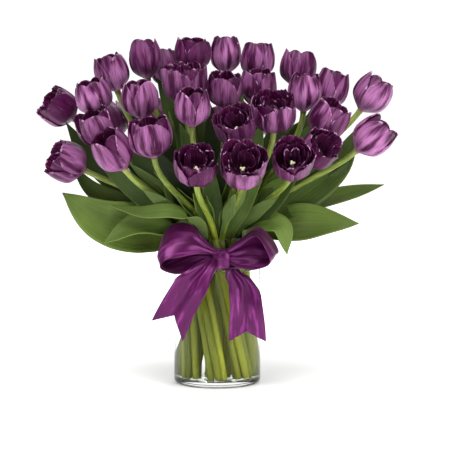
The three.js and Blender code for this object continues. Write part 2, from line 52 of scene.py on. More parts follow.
def aimAt(thing, place, aim):
    thing.location = place
    thing.rotation_euler = (Vector(aim) - Vector(place)).to_track_quat("-Z", "Y").to_euler()
    bpy.context.scene.collection.objects.link(thing)


camera = bpy.data.objects.new("camera", bpy.data.cameras.new("camera"))
camera.data.lens = view["lens"]
camera.data.sensor_width = view["sensor"]
camera.data.clip_end = view["farthest"]
aimAt(camera, view["place"], view["aim"])
bpy.context.scene.camera = camera
bpy.context.scene.view_settings.view_transform = "Standard"


def mix(low, high, share):
    return low + (high - low) * share


def smooth(low, high, value):
    share = min(max((value - low) / (high - low), 0.0), 1.0)
    return share * share * (3 - 2 * share)


def alongCurve(points, count, steps=24):
    # evenly spaced points on a centripetal curve through the given ones
    knots = [Vector(point) for point in points]
    padded = [knots[0] * 2 - knots[1]] + knots + [knots[-1] * 2 - knots[-2]]
    fine = []
    for number in range(len(knots) - 1):
        a, b, c, d = padded[number:number + 4]
        times = [0.0]
        for start, end in ((a, b), (b, c), (c, d)):
            times.append(times[-1] + max((end - start).length, 1e-4) ** 0.5)
        for step in range(steps):
            time = mix(times[1], times[2], step / steps)
            fine.append(centripetal((a, b, c, d), times, time))
    fine.append(knots[-1])
    lengths = [0.0]
    for start, end in zip(fine, fine[1:]):
        lengths.append(lengths[-1] + (end - start).length)
    result = []
    place = 0
    for number in range(count):
        wanted = lengths[-1] * number / (count - 1)
        while place < len(fine) - 2 and lengths[place + 1] < wanted:
            place += 1
        span = max(lengths[place + 1] - lengths[place], 1e-9)
        result.append(fine[place].lerp(fine[place + 1], min((wanted - lengths[place]) / span, 1.0)))
    return result


def centripetal(four, times, time):
    def between(first, second, start, end):
        return first * ((end - time) / (end - start)) + second * ((time - start) / (end - start))
    a, b, c, d = four
    ab = between(a, b, times[0], times[1])
    bc = between(b, c, times[1], times[2])
    cd = between(c, d, times[2], times[3])
    abc, bcd = between(ab, bc, times[0], times[2]), between(bc, cd, times[1], times[3])
    return between(abc, bcd, times[1], times[2])


def tangentsOf(points):
    last = len(points) - 1
    return [(points[min(k + 1, last)] - points[max(k - 1, 0)]).normalized() for k in range(last + 1)]


def newShape():
    # points, faces, each face's finish, and each point's marks: along, across, edge, tone, side
    return {"points": [], "faces": [], "finish": [], "marks": []}


def addSheet(shape, grid, marks, thickness, wrap=False):
    # a closed thin sheet: the grid is its front, and its back lies the thickness behind
    rows, columns = len(grid), len(grid[0])
    first = len(shape["points"])
    backs = []
    normal = up
    for row in range(rows):
        for column in range(columns):
            left = grid[row][(column - 1) % columns if wrap else max(column - 1, 0)]
            right = grid[row][(column + 1) % columns if wrap else min(column + 1, columns - 1)]
            below = grid[max(row - 1, 0)][column]
            above = grid[min(row + 1, rows - 1)][column]
            across = (right - left).cross(above - below)
            normal = across.normalized() if across.length > 1e-9 else normal
            backs.append(grid[row][column] - normal * thickness)
    for row in grid:
        shape["points"].extend(row)
    shape["points"].extend(backs)
    flat = [mark for row in marks for mark in row]
    shape["marks"].extend(mark + (0.0,) for mark in flat)
    shape["marks"].extend(mark + (1.0,) for mark in flat)
    count = rows * columns
    faces = []
    spans = columns if wrap else columns - 1
    for row in range(rows - 1):
        for column in range(spans):
            a = first + row * columns + column
            b = first + row * columns + (column + 1) % columns
            faces.append((a, b, b + columns, a + columns))
            faces.append((a + count + columns, b + count + columns, b + count, a + count))
    rim = []
    if wrap:
        for row, flip in ((0, False), (rows - 1, True)):
            for column in range(columns):
                pair = (first + row * columns + column, first + row * columns + (column + 1) % columns)
                rim.append(pair[::-1] if flip else pair)
    else:
        loop = [first + column for column in range(columns)]
        loop += [first + row * columns + columns - 1 for row in range(1, rows)]
        loop += [first + (rows - 1) * columns + column for column in range(columns - 2, -1, -1)]
        loop += [first + row * columns for row in range(rows - 2, 0, -1)]
        rim = list(zip(loop, loop[1:] + loop[:1]))
    faces.extend((b, a, a + count, b + count) for a, b in rim)
    shape["faces"].extend(faces)
    shape["finish"].extend([0] * len(faces))


def addGrid(shape, rows, columns, thickness, at, wrap=False):
    # a sheet from at(u, v), a point and its marks, u from -1 to 1 across it and v from 0 to 1 along it
    grid, marks = [], []
    for row in range(rows + 1):
        spots = [at(-1 + 2 * column / columns, row / rows) for column in range(columns + (0 if wrap else 1))]
        grid.append([point for point, _ in spots])
        marks.append([notes for _, notes in spots])
    addSheet(shape, grid, marks, thickness, wrap)


def addTube(shape, path, radii, sides, tone, finish):
    # a closed round tube along a path, with a flat cap at each end
    tangents = tangentsOf(path)
    side = tangents[0].orthogonal().normalized()
    first = len(shape["points"])
    for number, (centre, tangent) in enumerate(zip(path, tangents)):
        side = (side - tangent * side.dot(tangent)).normalized()
        other = tangent.cross(side)
        for step in range(sides):
            angle = 2 * math.pi * step / sides
            out = side * math.cos(angle) + other * math.sin(angle)
            shape["points"].append(centre + out * radii[number])
            shape["marks"].append((number / (len(path) - 1), step / sides, 0.0, tone, 0.0))
    faces = []
    for number in range(len(path) - 1):
        for step in range(sides):
            a = first + number * sides + step
            b = first + number * sides + (step + 1) % sides
            faces.append((a, b, b + sides, a + sides))
    last = first + (len(path) - 1) * sides
    faces.append(tuple(first + step for step in range(sides - 1, -1, -1)))
    faces.append(tuple(last + step for step in range(sides)))
    shape["faces"].extend(faces)
    shape["finish"].extend([finish] * len(faces))


def addTurned(shape, profile, sides, finishes):
    # a closed body turned round the upright axis, with a finish for each step of its profile
    ring = []
    for radius, height in profile:
        if radius < 1e-6:
            ring.append([len(shape["points"])] * sides)
            shape["points"].append(Vector((0, 0, height)))
            shape["marks"].append((0.0, 0.0, 0.0, 0.0, 0.0))
            continue
        ring.append([len(shape["points"]) + step for step in range(sides)])
        for step in range(sides):
            angle = 2 * math.pi * step / sides
            shape["points"].append(Vector((radius * math.cos(angle), radius * math.sin(angle), height)))
            shape["marks"].append((0.0, step / sides, 0.0, 0.0, 0.0))
    for low, high, finish in zip(ring, ring[1:], finishes):
        for step in range(sides):
            corners = (low[step], low[(step + 1) % sides], high[(step + 1) % sides], high[step])
            distinct = tuple(dict.fromkeys(corners))
            if len(distinct) > 2:
                shape["faces"].append(distinct)
                shape["finish"].append(finish)


def makePiece(name, shape, finishes, nodes, place=None):
    # the mesh in metres, riding on the root body and standing for its solids
    points = shape["points"]
    if place is not None:
        points = [place @ point for point in points]
    mesh = bpy.data.meshes.new(name)
    mesh.from_pydata([point * metres for point in points], [], shape["faces"])
    for material in finishes:
        mesh.materials.append(material)
    mesh.polygons.foreach_set("material_index", shape["finish"])
    mesh.polygons.foreach_set("use_smooth", [True] * len(shape["faces"]))
    for number, mark in enumerate(("along", "across", "edge", "tone", "side")):
        values = mesh.attributes.new(mark, "FLOAT", "POINT")
        values.data.foreach_set("value", [marks[number] for marks in shape["marks"]])
    mesh.update()
    piece = bpy.data.objects.new(name, mesh)
    bpy.context.scene.collection.objects.link(piece)
    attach(piece, "root")
    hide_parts(*nodes)
    return piece


def newFinish(name, sockets):
    material = bpy.data.materials.new(name)
    material.use_nodes = True
    tree = material.node_tree
    tree.nodes.clear()
    shader = tree.nodes.new("ShaderNodeBsdfPrincipled")
    output = tree.nodes.new("ShaderNodeOutputMaterial")
    tree.links.new(shader.outputs["BSDF"], output.inputs["Surface"])
    for socket, value in sockets.items():
        shader.inputs[socket].default_value = value
    return material, tree, shader


def mark(tree, name):
    node = tree.nodes.new("ShaderNodeAttribute")
    node.attribute_name = name
    return node.outputs["Fac"]


def plug(tree, socket, value):
    if isinstance(value, bpy.types.NodeSocket):
        tree.links.new(value, socket)
    else:
        socket.default_value = value


def sums(tree, operation, first, second, third=None, clamp=False):
    node = tree.nodes.new("ShaderNodeMath")
    node.operation = operation
    node.use_clamp = clamp
    plug(tree, node.inputs[0], first)
    plug(tree, node.inputs[1], second)
    if third is not None:
        plug(tree, node.inputs[2], third)
    return node.outputs[0]


def product(tree, first, second):
    return sums(tree, "MULTIPLY", first, second)


def within(tree, value, line):
    # the value on a straight line, given by its slope and start, and kept from 0 to 1
    slope, start = line
    return sums(tree, "MULTIPLY_ADD", value, slope, start, clamp=True)


def colourMix(tree, share, first, second):
    node = tree.nodes.new("ShaderNodeMix")
    node.data_type = "RGBA"
    plug(tree, node.inputs[0], share)
    for socket, colour in ((node.inputs[6], first), (node.inputs[7], second)):
        plug(tree, socket, (*colour, 1.0) if isinstance(colour, tuple) else colour)
    return node.outputs[2]


def colourRamp(tree, value, stops):
    node = tree.nodes.new("ShaderNodeValToRGB")
    elements = node.color_ramp.elements
    while len(elements) < len(stops):
        elements.new(0.5)
    for element, (place, colour) in zip(elements, stops):
        element.position = place
        element.color = (*colour, 1.0)
    tree.links.new(value, node.inputs[0])
    return node.outputs["Color"]


def triple(tree, first, second, third):
    node = tree.nodes.new("ShaderNodeCombineXYZ")
    for socket, value in zip(node.inputs, (first, second, third)):
        plug(tree, socket, value)
    return node.outputs[0]


def noise(tree, place, scale, detail=2.0, roughness=0.5):
    node = tree.nodes.new("ShaderNodeTexNoise")
    node.inputs["Scale"].default_value = scale
    node.inputs["Detail"].default_value = detail
    node.inputs["Roughness"].default_value = roughness
    tree.links.new(place, node.inputs["Vector"])
    return node.outputs["Fac"]


def where(tree):
    return tree.nodes.new("ShaderNodeTexCoord").outputs["Object"]


def streaks(tree, repeats, scale, detail, roughness=0.5):
    # noise drawn out by how often it repeats across and along a piece, and different for each tone
    names = ("across", "along", "tone")
    place = [product(tree, mark(tree, name), often) for name, often in zip(names, repeats)]
    return noise(tree, triple(tree, *place), scale, detail, roughness)


def dress(tree, shader, body, height, bump):
    # the colour, and a height that raises the surface, by its strength and its distance in metres
    tree.links.new(body, shader.inputs["Base Color"])
    node = tree.nodes.new("ShaderNodeBump")
    node.inputs["Strength"].default_value, node.inputs["Distance"].default_value = bump
    tree.links.new(height, node.inputs["Height"])
    tree.links.new(node.outputs["Normal"], shader.inputs["Normal"])


# In the looks below a pair of numbers is the line, slope and start, on which a colour's share rises.
petalLook = {
    # lilac and plum are the petals' own colours, and also those of the painted sheen highlight and the
    # painted shade
    "cream": (0.30, 0.24, 0.14), "lilac": (0.45, 0.17, 0.39), "purple": (0.066, 0.002, 0.045),
    # edge is the colour of the painted glints on the petals' rims
    "plum": (0.024, 0.001, 0.015), "edge": (0.62, 0.34, 0.56), "inside": (0.045, 0.001, 0.019),
    "alongPetal": [(0.0, "cream"), (0.04, "lilac"), (0.2, "purple"), (0.75, "purple"), (1.0, "plum")],
    "sockets": {"Roughness": 0.4, "Specular IOR Level": 0.3, "Specular Tint": (1.0, 0.55, 0.9, 1.0),
                "Subsurface Weight": 0.06, "Subsurface Scale": 0.003},
    "veins": ((13.0, 1.3, 40.0), 2.0, 3.0, 0.65), "patches": ((2.2, 1.0, 60.0), 1.4, 2.0), "paintedGlintScale": 130.0,
    # the sheen highlight and shade patches below paint light and shade on the petals
    "sheenHighlightPatch": (4.6, -1.85), "paleTone": (1.2, -0.1), "shadePatch": (-4.0, 2.0),
    "darkVein": (-4.0, 2.2), "darkVeinShare": 0.7, "paleVein": (3.6, -2.15), "insidePaleVein": (3.6, -1.95),
    "insidePurple": 0.9, "insideShare": 0.9, "darkRim": (-0.9, 0.8), "paintedGlint": (8.0, -4.7),
    "bump": (0.5, 0.0007),
}


def petalFinish():
    look = petalLook
    material, tree, shader = newFinish("petal_skin", look["sockets"])
    edge, tone = mark(tree, "edge"), mark(tree, "tone")
    veins, patches = streaks(tree, *look["veins"]), streaks(tree, *look["patches"])
    stops = [(place, look[colour]) for place, colour in look["alongPetal"]]
    body = colourRamp(tree, mark(tree, "along"), stops)
    # painted highlight and painted shade, partly the petal's own tone: one side of a petal is pale like a lit
    # sheen and the other dark like shade, differently on each petal
    pale = product(tree, within(tree, patches, look["sheenHighlightPatch"]), within(tree, tone, look["paleTone"]))
    body = colourMix(tree, pale, body, look["lilac"])
    body = colourMix(tree, within(tree, patches, look["shadePatch"]), body, look["plum"])
    dark = within(tree, veins, look["darkVein"])
    body = colourMix(tree, product(tree, dark, look["darkVeinShare"]), body, look["plum"])
    body = colourMix(tree, within(tree, veins, look["paleVein"]), body, look["lilac"])
    purple = colourMix(tree, look["insidePurple"], look["inside"], look["purple"])
    inside = colourMix(tree, dark, purple, look["inside"])
    inside = colourMix(tree, within(tree, veins, look["insidePaleVein"]), inside, look["lilac"])
    body = colourMix(tree, product(tree, mark(tree, "side"), look["insideShare"]), body, inside)
    # dark petals have a dark rim, and painted highlights: a few pale glints on the rims
    body = colourMix(tree, product(tree, edge, within(tree, tone, look["darkRim"])), body, look["plum"])
    paintedGlint = within(tree, noise(tree, where(tree), look["paintedGlintScale"], 1.0), look["paintedGlint"])
    body = colourMix(tree, product(tree, edge, paintedGlint), body, look["edge"])
    dress(tree, shader, body, veins, look["bump"])
    return material


heartLooks = {
    "pistil_skin": {
        "sockets": {"Roughness": 0.45, "Subsurface Weight": 0.1, "Subsurface Scale": 0.002}, "grain": 900.0,
        "colours": [(0.3, (0.55, 0.52, 0.28)), (0.7, (0.86, 0.80, 0.62))], "bump": (0.4, 0.0004),
    },
    "stamen_skin": {
        "sockets": {"Roughness": 0.75}, "grain": 1500.0,
        "colours": [(0.3, (0.012, 0.004, 0.014)), (0.75, (0.11, 0.05, 0.08))], "bump": (0.6, 0.0004),
    },
}


def heartFinish(name):
    look = heartLooks[name]
    material, tree, shader = newFinish(name, look["sockets"])
    grain = noise(tree, where(tree), look["grain"])
    dress(tree, shader, colourRamp(tree, grain, look["colours"]), grain, look["bump"])
    return material


stemLook = {
    "sockets": {"Roughness": 0.42, "Specular IOR Level": 0.2, "Subsurface Weight": 0.06,
                "Subsurface Scale": 0.004},
    # from the pale foot up to the head
    "colours": [(0.0, (0.66, 0.68, 0.06)), (0.12, (0.42, 0.46, 0.018)), (0.25, (0.24, 0.29, 0.008)),
                (0.6, (0.14, 0.20, 0.016)), (0.9, (0.20, 0.27, 0.045)), (1.0, (0.30, 0.33, 0.10))],
    "dark": (0.055, 0.095, 0.008), "darkShare": 0.75, "pale": (0.46, 0.50, 0.14), "paleStreak": (2.4, -1.1),
    "streaks": ((12.0, 9.0, 50.0), 2.0, 3.0, 0.6), "bump": (0.3, 0.0005),
}


def stemFinish():
    look = stemLook
    material, tree, shader = newFinish("stem_skin", look["sockets"])
    streak = streaks(tree, *look["streaks"])
    body = colourRamp(tree, mark(tree, "along"), look["colours"])
    body = colourMix(tree, product(tree, mark(tree, "tone"), look["darkShare"]), body, look["dark"])
    body = colourMix(tree, within(tree, streak, look["paleStreak"]), body, look["pale"])
    dress(tree, shader, body, streak, look["bump"])
    return material


leafLook = {
    "deep": (0.010, 0.026, 0.002), "mid": (0.072, 0.135, 0.014), "light": (0.24, 0.35, 0.075),
    "under": (0.12, 0.17, 0.055), "margin": (0.20, 0.27, 0.06), "shade": (0.004, 0.010, 0.001),
    "sockets": {"Roughness": 0.42, "Specular IOR Level": 0.2, "Subsurface Weight": 0.05,
                "Subsurface Scale": 0.003},
    "veins": ((26.0, 1.2, 30.0), 2.0, 3.0, 0.6), "patches": (28.0, 3.0), "midPatch": (1.6, -0.35),
    "lightShare": 0.7, "paleVein": (1.6, -0.55), "paleVeinShare": 0.5, "darkVein": (-3.2, 1.35),
    "underShare": 0.55, "marginShare": 0.45, "shadeTone": (-0.8, 0.0), "bump": (0.5, 0.0007),
}


def leafFinish():
    look = leafLook
    material, tree, shader = newFinish("leaf_skin", look["sockets"])
    tone = mark(tree, "tone")
    veins = streaks(tree, *look["veins"])
    patches = noise(tree, where(tree), *look["patches"])
    body = colourMix(tree, within(tree, patches, look["midPatch"]), look["deep"], look["mid"])
    body = colourMix(tree, product(tree, tone, look["lightShare"]), body, look["light"])
    paler = colourMix(tree, look["paleVeinShare"], body, look["light"])
    body = colourMix(tree, within(tree, veins, look["paleVein"]), body, paler)
    body = colourMix(tree, within(tree, veins, look["darkVein"]), body, look["deep"])
    body = colourMix(tree, product(tree, mark(tree, "side"), look["underShare"]), body, look["under"])
    body = colourMix(tree, product(tree, mark(tree, "edge"), look["marginShare"]), body, look["margin"])
    # painted shade: a tone below 0 darkens a leaf that stands in the shade inside the bouquet
    body = colourMix(tree, within(tree, tone, look["shadeTone"]), body, look["shade"])
    dress(tree, shader, body, veins, look["bump"])
    return material


ribbonLook = {
    "deep": (0.024, 0.001, 0.016), "mid": (0.064, 0.003, 0.045), "satinHighlight": (0.33, 0.055, 0.29),
    "sockets": {"Roughness": 0.3, "Sheen Weight": 0.1, "Sheen Roughness": 0.35,
                "Sheen Tint": (0.95, 0.45, 0.95, 1.0), "Specular IOR Level": 0.8,
                "Specular Tint": (0.85, 0.25, 0.75, 1.0)},
    "weave": ((3.0, 260.0, 0.0), 1.0, 1.0), "weaveShare": 0.1, "patches": (30.0, 2.0),
    "midPatch": (1.5, -0.2), "creases": ((2.2, 1.6, 30.0), 1.6, 2.0, 0.6), "creaseShade": (-4.0, 1.95),
    "foldHighlight": (3.4, -1.8), "edgeShare": 0.5, "bump": (0.12, 0.0002),
}


def ribbonFinish():
    look = ribbonLook
    material, tree, shader = newFinish("ribbon_satin", look["sockets"])
    weave, creases = streaks(tree, *look["weave"]), streaks(tree, *look["creases"])
    patches = noise(tree, where(tree), *look["patches"])
    body = colourMix(tree, within(tree, patches, look["midPatch"]), look["deep"], look["mid"])
    # painted shade in the creases and painted highlights on the folds between them
    body = colourMix(tree, within(tree, creases, look["creaseShade"]), body, look["deep"])
    body = colourMix(tree, within(tree, creases, look["foldHighlight"]), body, look["satinHighlight"])
    # painted sheen: the weave's threads are tinted a little toward the highlight colour
    body = colourMix(tree, product(tree, weave, look["weaveShare"]), body, look["satinHighlight"])
    body = colourMix(tree, product(tree, mark(tree, "edge"), look["edgeShare"]), body, look["deep"])
    dress(tree, shader, body, weave, look["bump"])
    return material


glassLook = {
    # the turned and corner colours are painted shade at the glass's edges and in its foot's corner
    "clear": (0.97, 0.985, 0.98), "turned": (0.12, 0.16, 0.14), "cornerShade": (0.001, 0.0015, 0.001),
    "sockets": {"Transmission Weight": 1.0, "IOR": 1.45, "Roughness": 0.0,
                "Specular Tint": (0.2, 0.21, 0.21, 1.0)},
    "edgeShadeLine": (4.0, -2.1), "footHeight": (-160.0, 2.0), "cornerAway": (5.0, -1.7),
    "patches": (45.0, 2.0), "cornerPatch": (3.0, -0.3), "waves": (25.0, 1.0), "bump": (0.04, 0.001),
}


def glassFinish():
    look = glassLook
    material, tree, shader = newFinish("vase_glass", look["sockets"])
    height = tree.nodes.new("ShaderNodeSeparateXYZ")
    tree.links.new(where(tree), height.inputs[0])
    # painted shade: the glass is tinted dark where the wall turns away, most of all in the foot's thick
    # rounded corner
    facing = tree.nodes.new("ShaderNodeLayerWeight").outputs["Facing"]
    body = colourMix(tree, within(tree, facing, look["edgeShadeLine"]), look["clear"], look["turned"])
    foot = within(tree, height.outputs[2], look["footHeight"])
    uneven = within(tree, noise(tree, where(tree), *look["patches"]), look["cornerPatch"])
    cornerShade = product(tree, within(tree, facing, look["cornerAway"]), uneven)
    body = colourMix(tree, product(tree, foot, cornerShade), body, look["cornerShade"])
    dress(tree, shader, body, noise(tree, where(tree), *look["waves"]), look["bump"])
    return material


clearPatches = (20.0, 1.0)
# How far each clear finish bends light, and its two faint tints. The wet glass is the wall's inside
# below the water, where light passes from glass to water, and the water's side lies close to it.
clearLooks = {
    "wet_glass": (1.09, (0.97, 0.985, 0.96), (0.96, 0.98, 0.94)),
    "clear_water": (1.333, (0.97, 0.985, 0.95), (0.95, 0.98, 0.92)),
    "water_side": (1.002, (0.99, 0.995, 0.97), (0.97, 0.99, 0.95)),
}


def clearFinish(name):
    bending, pale, tinted = clearLooks[name]
    material, tree, shader = newFinish(name, {"Transmission Weight": 1.0, "IOR": bending, "Roughness": 0.0})
    body = colourMix(tree, noise(tree, where(tree), *clearPatches), pale, tinted)
    tree.links.new(body, shader.inputs["Base Color"])
    return material


petalSkin, pistilSkin, stamenSkin = petalFinish(), heartFinish("pistil_skin"), heartFinish("stamen_skin")
stemSkin, leafSkin, ribbonSatin = stemFinish(), leafFinish(), ribbonFinish()
vaseGlass, wetGlass = glassFinish(), clearFinish("wet_glass")
clearWater, waterSide = clearFinish("clear_water"), clearFinish("water_side")
print("finishes made")


vase = {
    "radius": 50, "height": 170, "wall": 3, "base": 6, "sides": 128, "lip": 1.2, "foot": 5.0, "well": 4.0,
    "under": [(50, 1.2), (12, 0.8), (7, 0.0)],  # the hollow under it: how far in from the side, how high
    "dish": 0.6, "water": 132, "gap": 0.12, "waterLift": 0.3, "waterDish": 0.5,
    "climb": [(0, 1.6), (0.5, 0.9), (1.6, 0.2), (4, 0)],  # of the water at the wall: how far in, how high
}


def roundCorner(centre, radius, start, end, steps=5):
    turns = [math.radians(mix(start, end, step / steps)) for step in range(steps + 1)]
    return [(centre[0] + radius * math.cos(turn), centre[1] + radius * math.sin(turn)) for turn in turns]


def makeVase():
    outer, inner = vase["radius"], vase["radius"] - vase["wall"]
    lip, foot, well, top = vase["lip"], vase["foot"], vase["well"], vase["height"] - vase["lip"]
    profile = [(outer - inward, rise) for inward, rise in vase["under"]]
    profile += roundCorner((outer - foot, foot), foot, -90, 0)
    profile += roundCorner((outer - lip, top), lip, 0, 90)
    profile += roundCorner((inner + lip, top), lip, 90, 180)
    profile.append((inner, vase["water"] + vase["climb"][0][1]))
    dry = len(profile) - 1
    profile += roundCorner((inner - well, vase["base"] + well), well, 0, -90)
    profile.append((0, vase["base"] - vase["dish"]))
    shape = newShape()
    addTurned(shape, profile, vase["sides"], [0] * dry + [1] * (len(profile) - dry))
    makePiece("glass_vase", shape, [vaseGlass, wetGlass], ["vase"])


def makeWater():
    radius = vase["radius"] - vase["wall"] - vase["gap"]
    bottom, well, top = vase["base"] + vase["waterLift"], vase["well"], vase["water"]
    profile = [(0, bottom - vase["waterDish"])]
    profile += roundCorner((radius - well, bottom + well), well, -90, 0)
    under = len(profile)
    profile += [(radius - inward, top + rise) for inward, rise in vase["climb"]] + [(0, top)]
    shape = newShape()
    addTurned(shape, profile, vase["sides"], [1] * under + [0] * (len(profile) - under))
    makePiece("vase_water", shape, [clearWater, waterSide], ["water"])


makeVase()
makeWater()
print("vase and water made")


# the bouquet's plan
bloomTable = [  # centre of the head, where it points, height, radius, how open, how lilac
    ((-83, 15, 373), (-0.14, 0.02, 1), 46, 19, 0.05, 0.5),
    ((-122, 25, 357), (-0.3, -0.1, 1), 44, 20, 0.05, 0.8),
    ((-182, 20, 316), (-0.75, -0.3, 0.6), 42, 22, 0.45, 0.35),
    ((-140, -25, 329), (-0.26, -0.15, 1), 42, 21, 0.1, 0.9),
    ((-169, -30, 256), (-0.85, -0.3, 0.45), 44, 23.5, 0.4, 0.5),
    ((-134, -50, 295), (-0.36, -0.3, 0.9), 42, 22, 0.3, 0.45),
    ((-114, -85, 270), (-0.5, -0.35, 0.8), 48, 22, 0.15, 0.6),
    ((-86, -45, 327), (-0.09, -0.15, 1), 44, 21, 0.1, 0.9),
    ((-72, -95, 286), (-0.15, -0.22, 1), 46, 24.5, 0.35, 0.75),
    ((-37, -30, 345), (-0.05, -0.25, 1), 50, 25.5, 0.7, 0.5),
    ((-28, 15, 378), (0.05, -0.15, 1), 40, 21, 0.25, 0.4),
    ((-61, 50, 362), (-0.2, 0.15, 1), 44, 18, 0.1, 0.2),
    ((-27, -85, 318), (0, -0.2, 1), 42, 20, 0.05, 1.0),
    ((-22, -130, 255), (0, -0.7, 0.8), 42, 23, 0.6, 0.4),
    ((10, 40, 378), (0, 0.05, 1), 44, 18, 0, 0.8),
    ((46, 20, 371), (0.05, 0, 1), 42, 20, 0.05, 0.7),
    ((94, 35, 362), (0.12, 0.1, 1), 44, 21, 0.05, 0.7),
    ((99, -25, 335), (0.06, -0.1, 1), 44, 19, 0, 0.9),
    ((131, 18, 338), (0.3, 0.05, 1), 46, 20, 0.15, 0.4),
    ((179, 15, 332), (0.6, 0, 0.8), 46, 22, 0.05, 0.9),
    ((176, -30, 284), (0.75, -0.15, 0.65), 48, 22, 0.15, 0.9),
    ((124, -45, 304), (0.46, -0.27, 0.9), 46, 22, 0.3, 0.6),
    ((63, -75, 312), (0, -0.55, 0.9), 46, 24.5, 0.6, 0.5),
    ((9, -40, 337), (0, -0.3, 1), 42, 20, 0.4, 0.5),
    ((46, -20, 342), (0.05, -0.15, 1), 40, 20, 0.3, 0.6),
    ((21, -95, 297), (-0.2, -0.6, 0.85), 42, 22, 0.65, 0.4),
    ((28, -133, 255), (0.02, -0.8, 0.7), 47, 24.5, 0.8, 0.4),
    ((82, -112, 260), (0.02, -0.8, 0.65), 40, 22, 0.7, 0.4),
    ((113, -75, 271), (0.55, -0.7, 0.65), 42, 21, 0.6, 0.3),
    ((-126, 78, 300), (-0.5, 0.46, 0.8), 44, 21, 0.1, 0.6),
    ((-70, 102, 302), (-0.25, 0.6, 0.85), 44, 22, 0.2, 0.6),
    ((0, 112, 290), (0, 0.65, 0.8), 46, 23.5, 0.5, 0.5),
    ((70, 102, 299), (0.25, 0.6, 0.85), 44, 21, 0.1, 0.7),
    ((126, 76, 297), (0.5, 0.45, 0.8), 44, 22, 0.3, 0.5),
    ((-28, 76, 338), (-0.1, 0.35, 1), 44, 20, 0.05, 0.5),
    ((50, 72, 336), (0.15, 0.35, 1), 44, 20, 0.15, 0.6),
]
blooms = [dict(zip(("head", "points", "height", "radius", "opened", "pale"), row)) for row in bloomTable]
stemPlan = {  # the twist is in degrees, and leave and arrive are shares of the way from neck to head
    "radius": 3.8, "neckHeight": 165, "neckRing": 24, "bunchRing": 6, "centreRing": 6.8, "twist": 60,
    "spread": 1.2, "widthToDepth": 1.35, "uprightness": 0.5, "leave": 0.35, "arrive": 0.3,
    "clearance": 0.3, "footShare": 0.4, "sides": 14, "steps": 34, "straightSteps": 8,
    "bunches": 6, "inBunch": 5, "inCentre": 6, "turnSteps": 8, "thinnest": 0.84, "cutEnd": 0.9,
    "underHead": 1.15, "seed": 900,
}


def headOf(bloom):
    axis = Vector(bloom["points"]).normalized()
    return axis, Vector(bloom["head"]) - axis * (bloom["height"] / 2)


def dealBunches():
    # the stems nearest the middle, then the others in bunches by the direction of their blooms
    plan, stems = stemPlan, []
    for number, bloom in enumerate(blooms):
        axis, base = headOf(bloom)
        stems.append({"number": number, "axis": axis, "base": base})
    ratio, size, inner = plan["widthToDepth"], plan["inBunch"], plan["inCentre"]
    stems.sort(key=lambda stem: math.hypot(stem["base"].x / ratio, stem["base"].y))
    outer = sorted(stems[inner:], key=lambda stem: math.atan2(stem["base"].y, stem["base"].x / ratio))
    bunches = [{"centre": Vector((0, 0)), "stems": stems[:inner]}]
    for bunch in range(plan["bunches"]):
        angle = -math.pi + (bunch + 0.5) * 2 * math.pi / plan["bunches"]
        centre = Vector((math.cos(angle), math.sin(angle))) * plan["neckRing"]
        bunches.append({"centre": centre, "stems": outer[bunch * size:bunch * size + size]})
    return bunches


def placeInBunch(bunch):
    # a ring of stems, and one in its middle where there are six, turned to suit the blooms' directions
    stems, size, turns = bunch["stems"], stemPlan["inBunch"], stemPlan["turnSteps"]
    middle = Vector((sum(stem["base"].x for stem in stems), sum(stem["base"].y for stem in stems)))
    for stem in stems:
        stem["away"] = Vector((stem["base"].x, stem["base"].y)) - middle / len(stems)
    byDistance = sorted(stems, key=lambda stem: stem["away"].length)
    centred = byDistance[:1] if len(stems) > size else []
    ring = sorted(byDistance[len(centred):],
                  key=lambda stem: math.atan2(stem["away"].y, stem["away"].x) % (2 * math.pi))
    radius = stemPlan["centreRing"] if centred else stemPlan["bunchRing"]

    def slotAt(turn, place):
        angle = (turn / turns + place) * 2 * math.pi / size
        return Vector((math.cos(angle), math.sin(angle))) * radius

    def fit(turn):
        return sum(slotAt(turn, place).dot(stem["away"].normalized()) for place, stem in enumerate(ring))

    best = 0
    for turn in range(1, turns * size):
        best = turn if fit(turn) > fit(best) else best
    for place, stem in enumerate(ring):
        stem["neck"] = slotAt(best, place) + bunch["centre"]
    for stem in centred:
        stem["neck"] = bunch["centre"].copy()


def stemLine(stem):
    # the straight, twisted length in the vase and the curve that fans out above it
    plan = stemPlan
    turned = Matrix.Rotation(math.radians(plan["twist"]), 2) @ stem["neck"] * plan["spread"]
    lift = vase["base"] + plan["clearance"] + plan["radius"] * plan["footShare"]
    foot = Vector((turned.x, turned.y, lift))
    neck = Vector((stem["neck"].x, stem["neck"].y, plan["neckHeight"]))
    head = stem["base"] - stem["axis"] * plan["clearance"]
    reach = (head - neck).length
    rise = (head - neck).normalized().lerp(up, plan["uprightness"]).normalized()
    leaving = neck + rise * (reach * plan["leave"])
    arriving = head - stem["axis"] * (reach * plan["arrive"])

    def fan(share):
        rest = 1 - share
        return (neck * rest ** 3 + leaving * (3 * rest * rest * share)
                + arriving * (3 * rest * share * share) + head * share ** 3)
    return foot, neck, fan


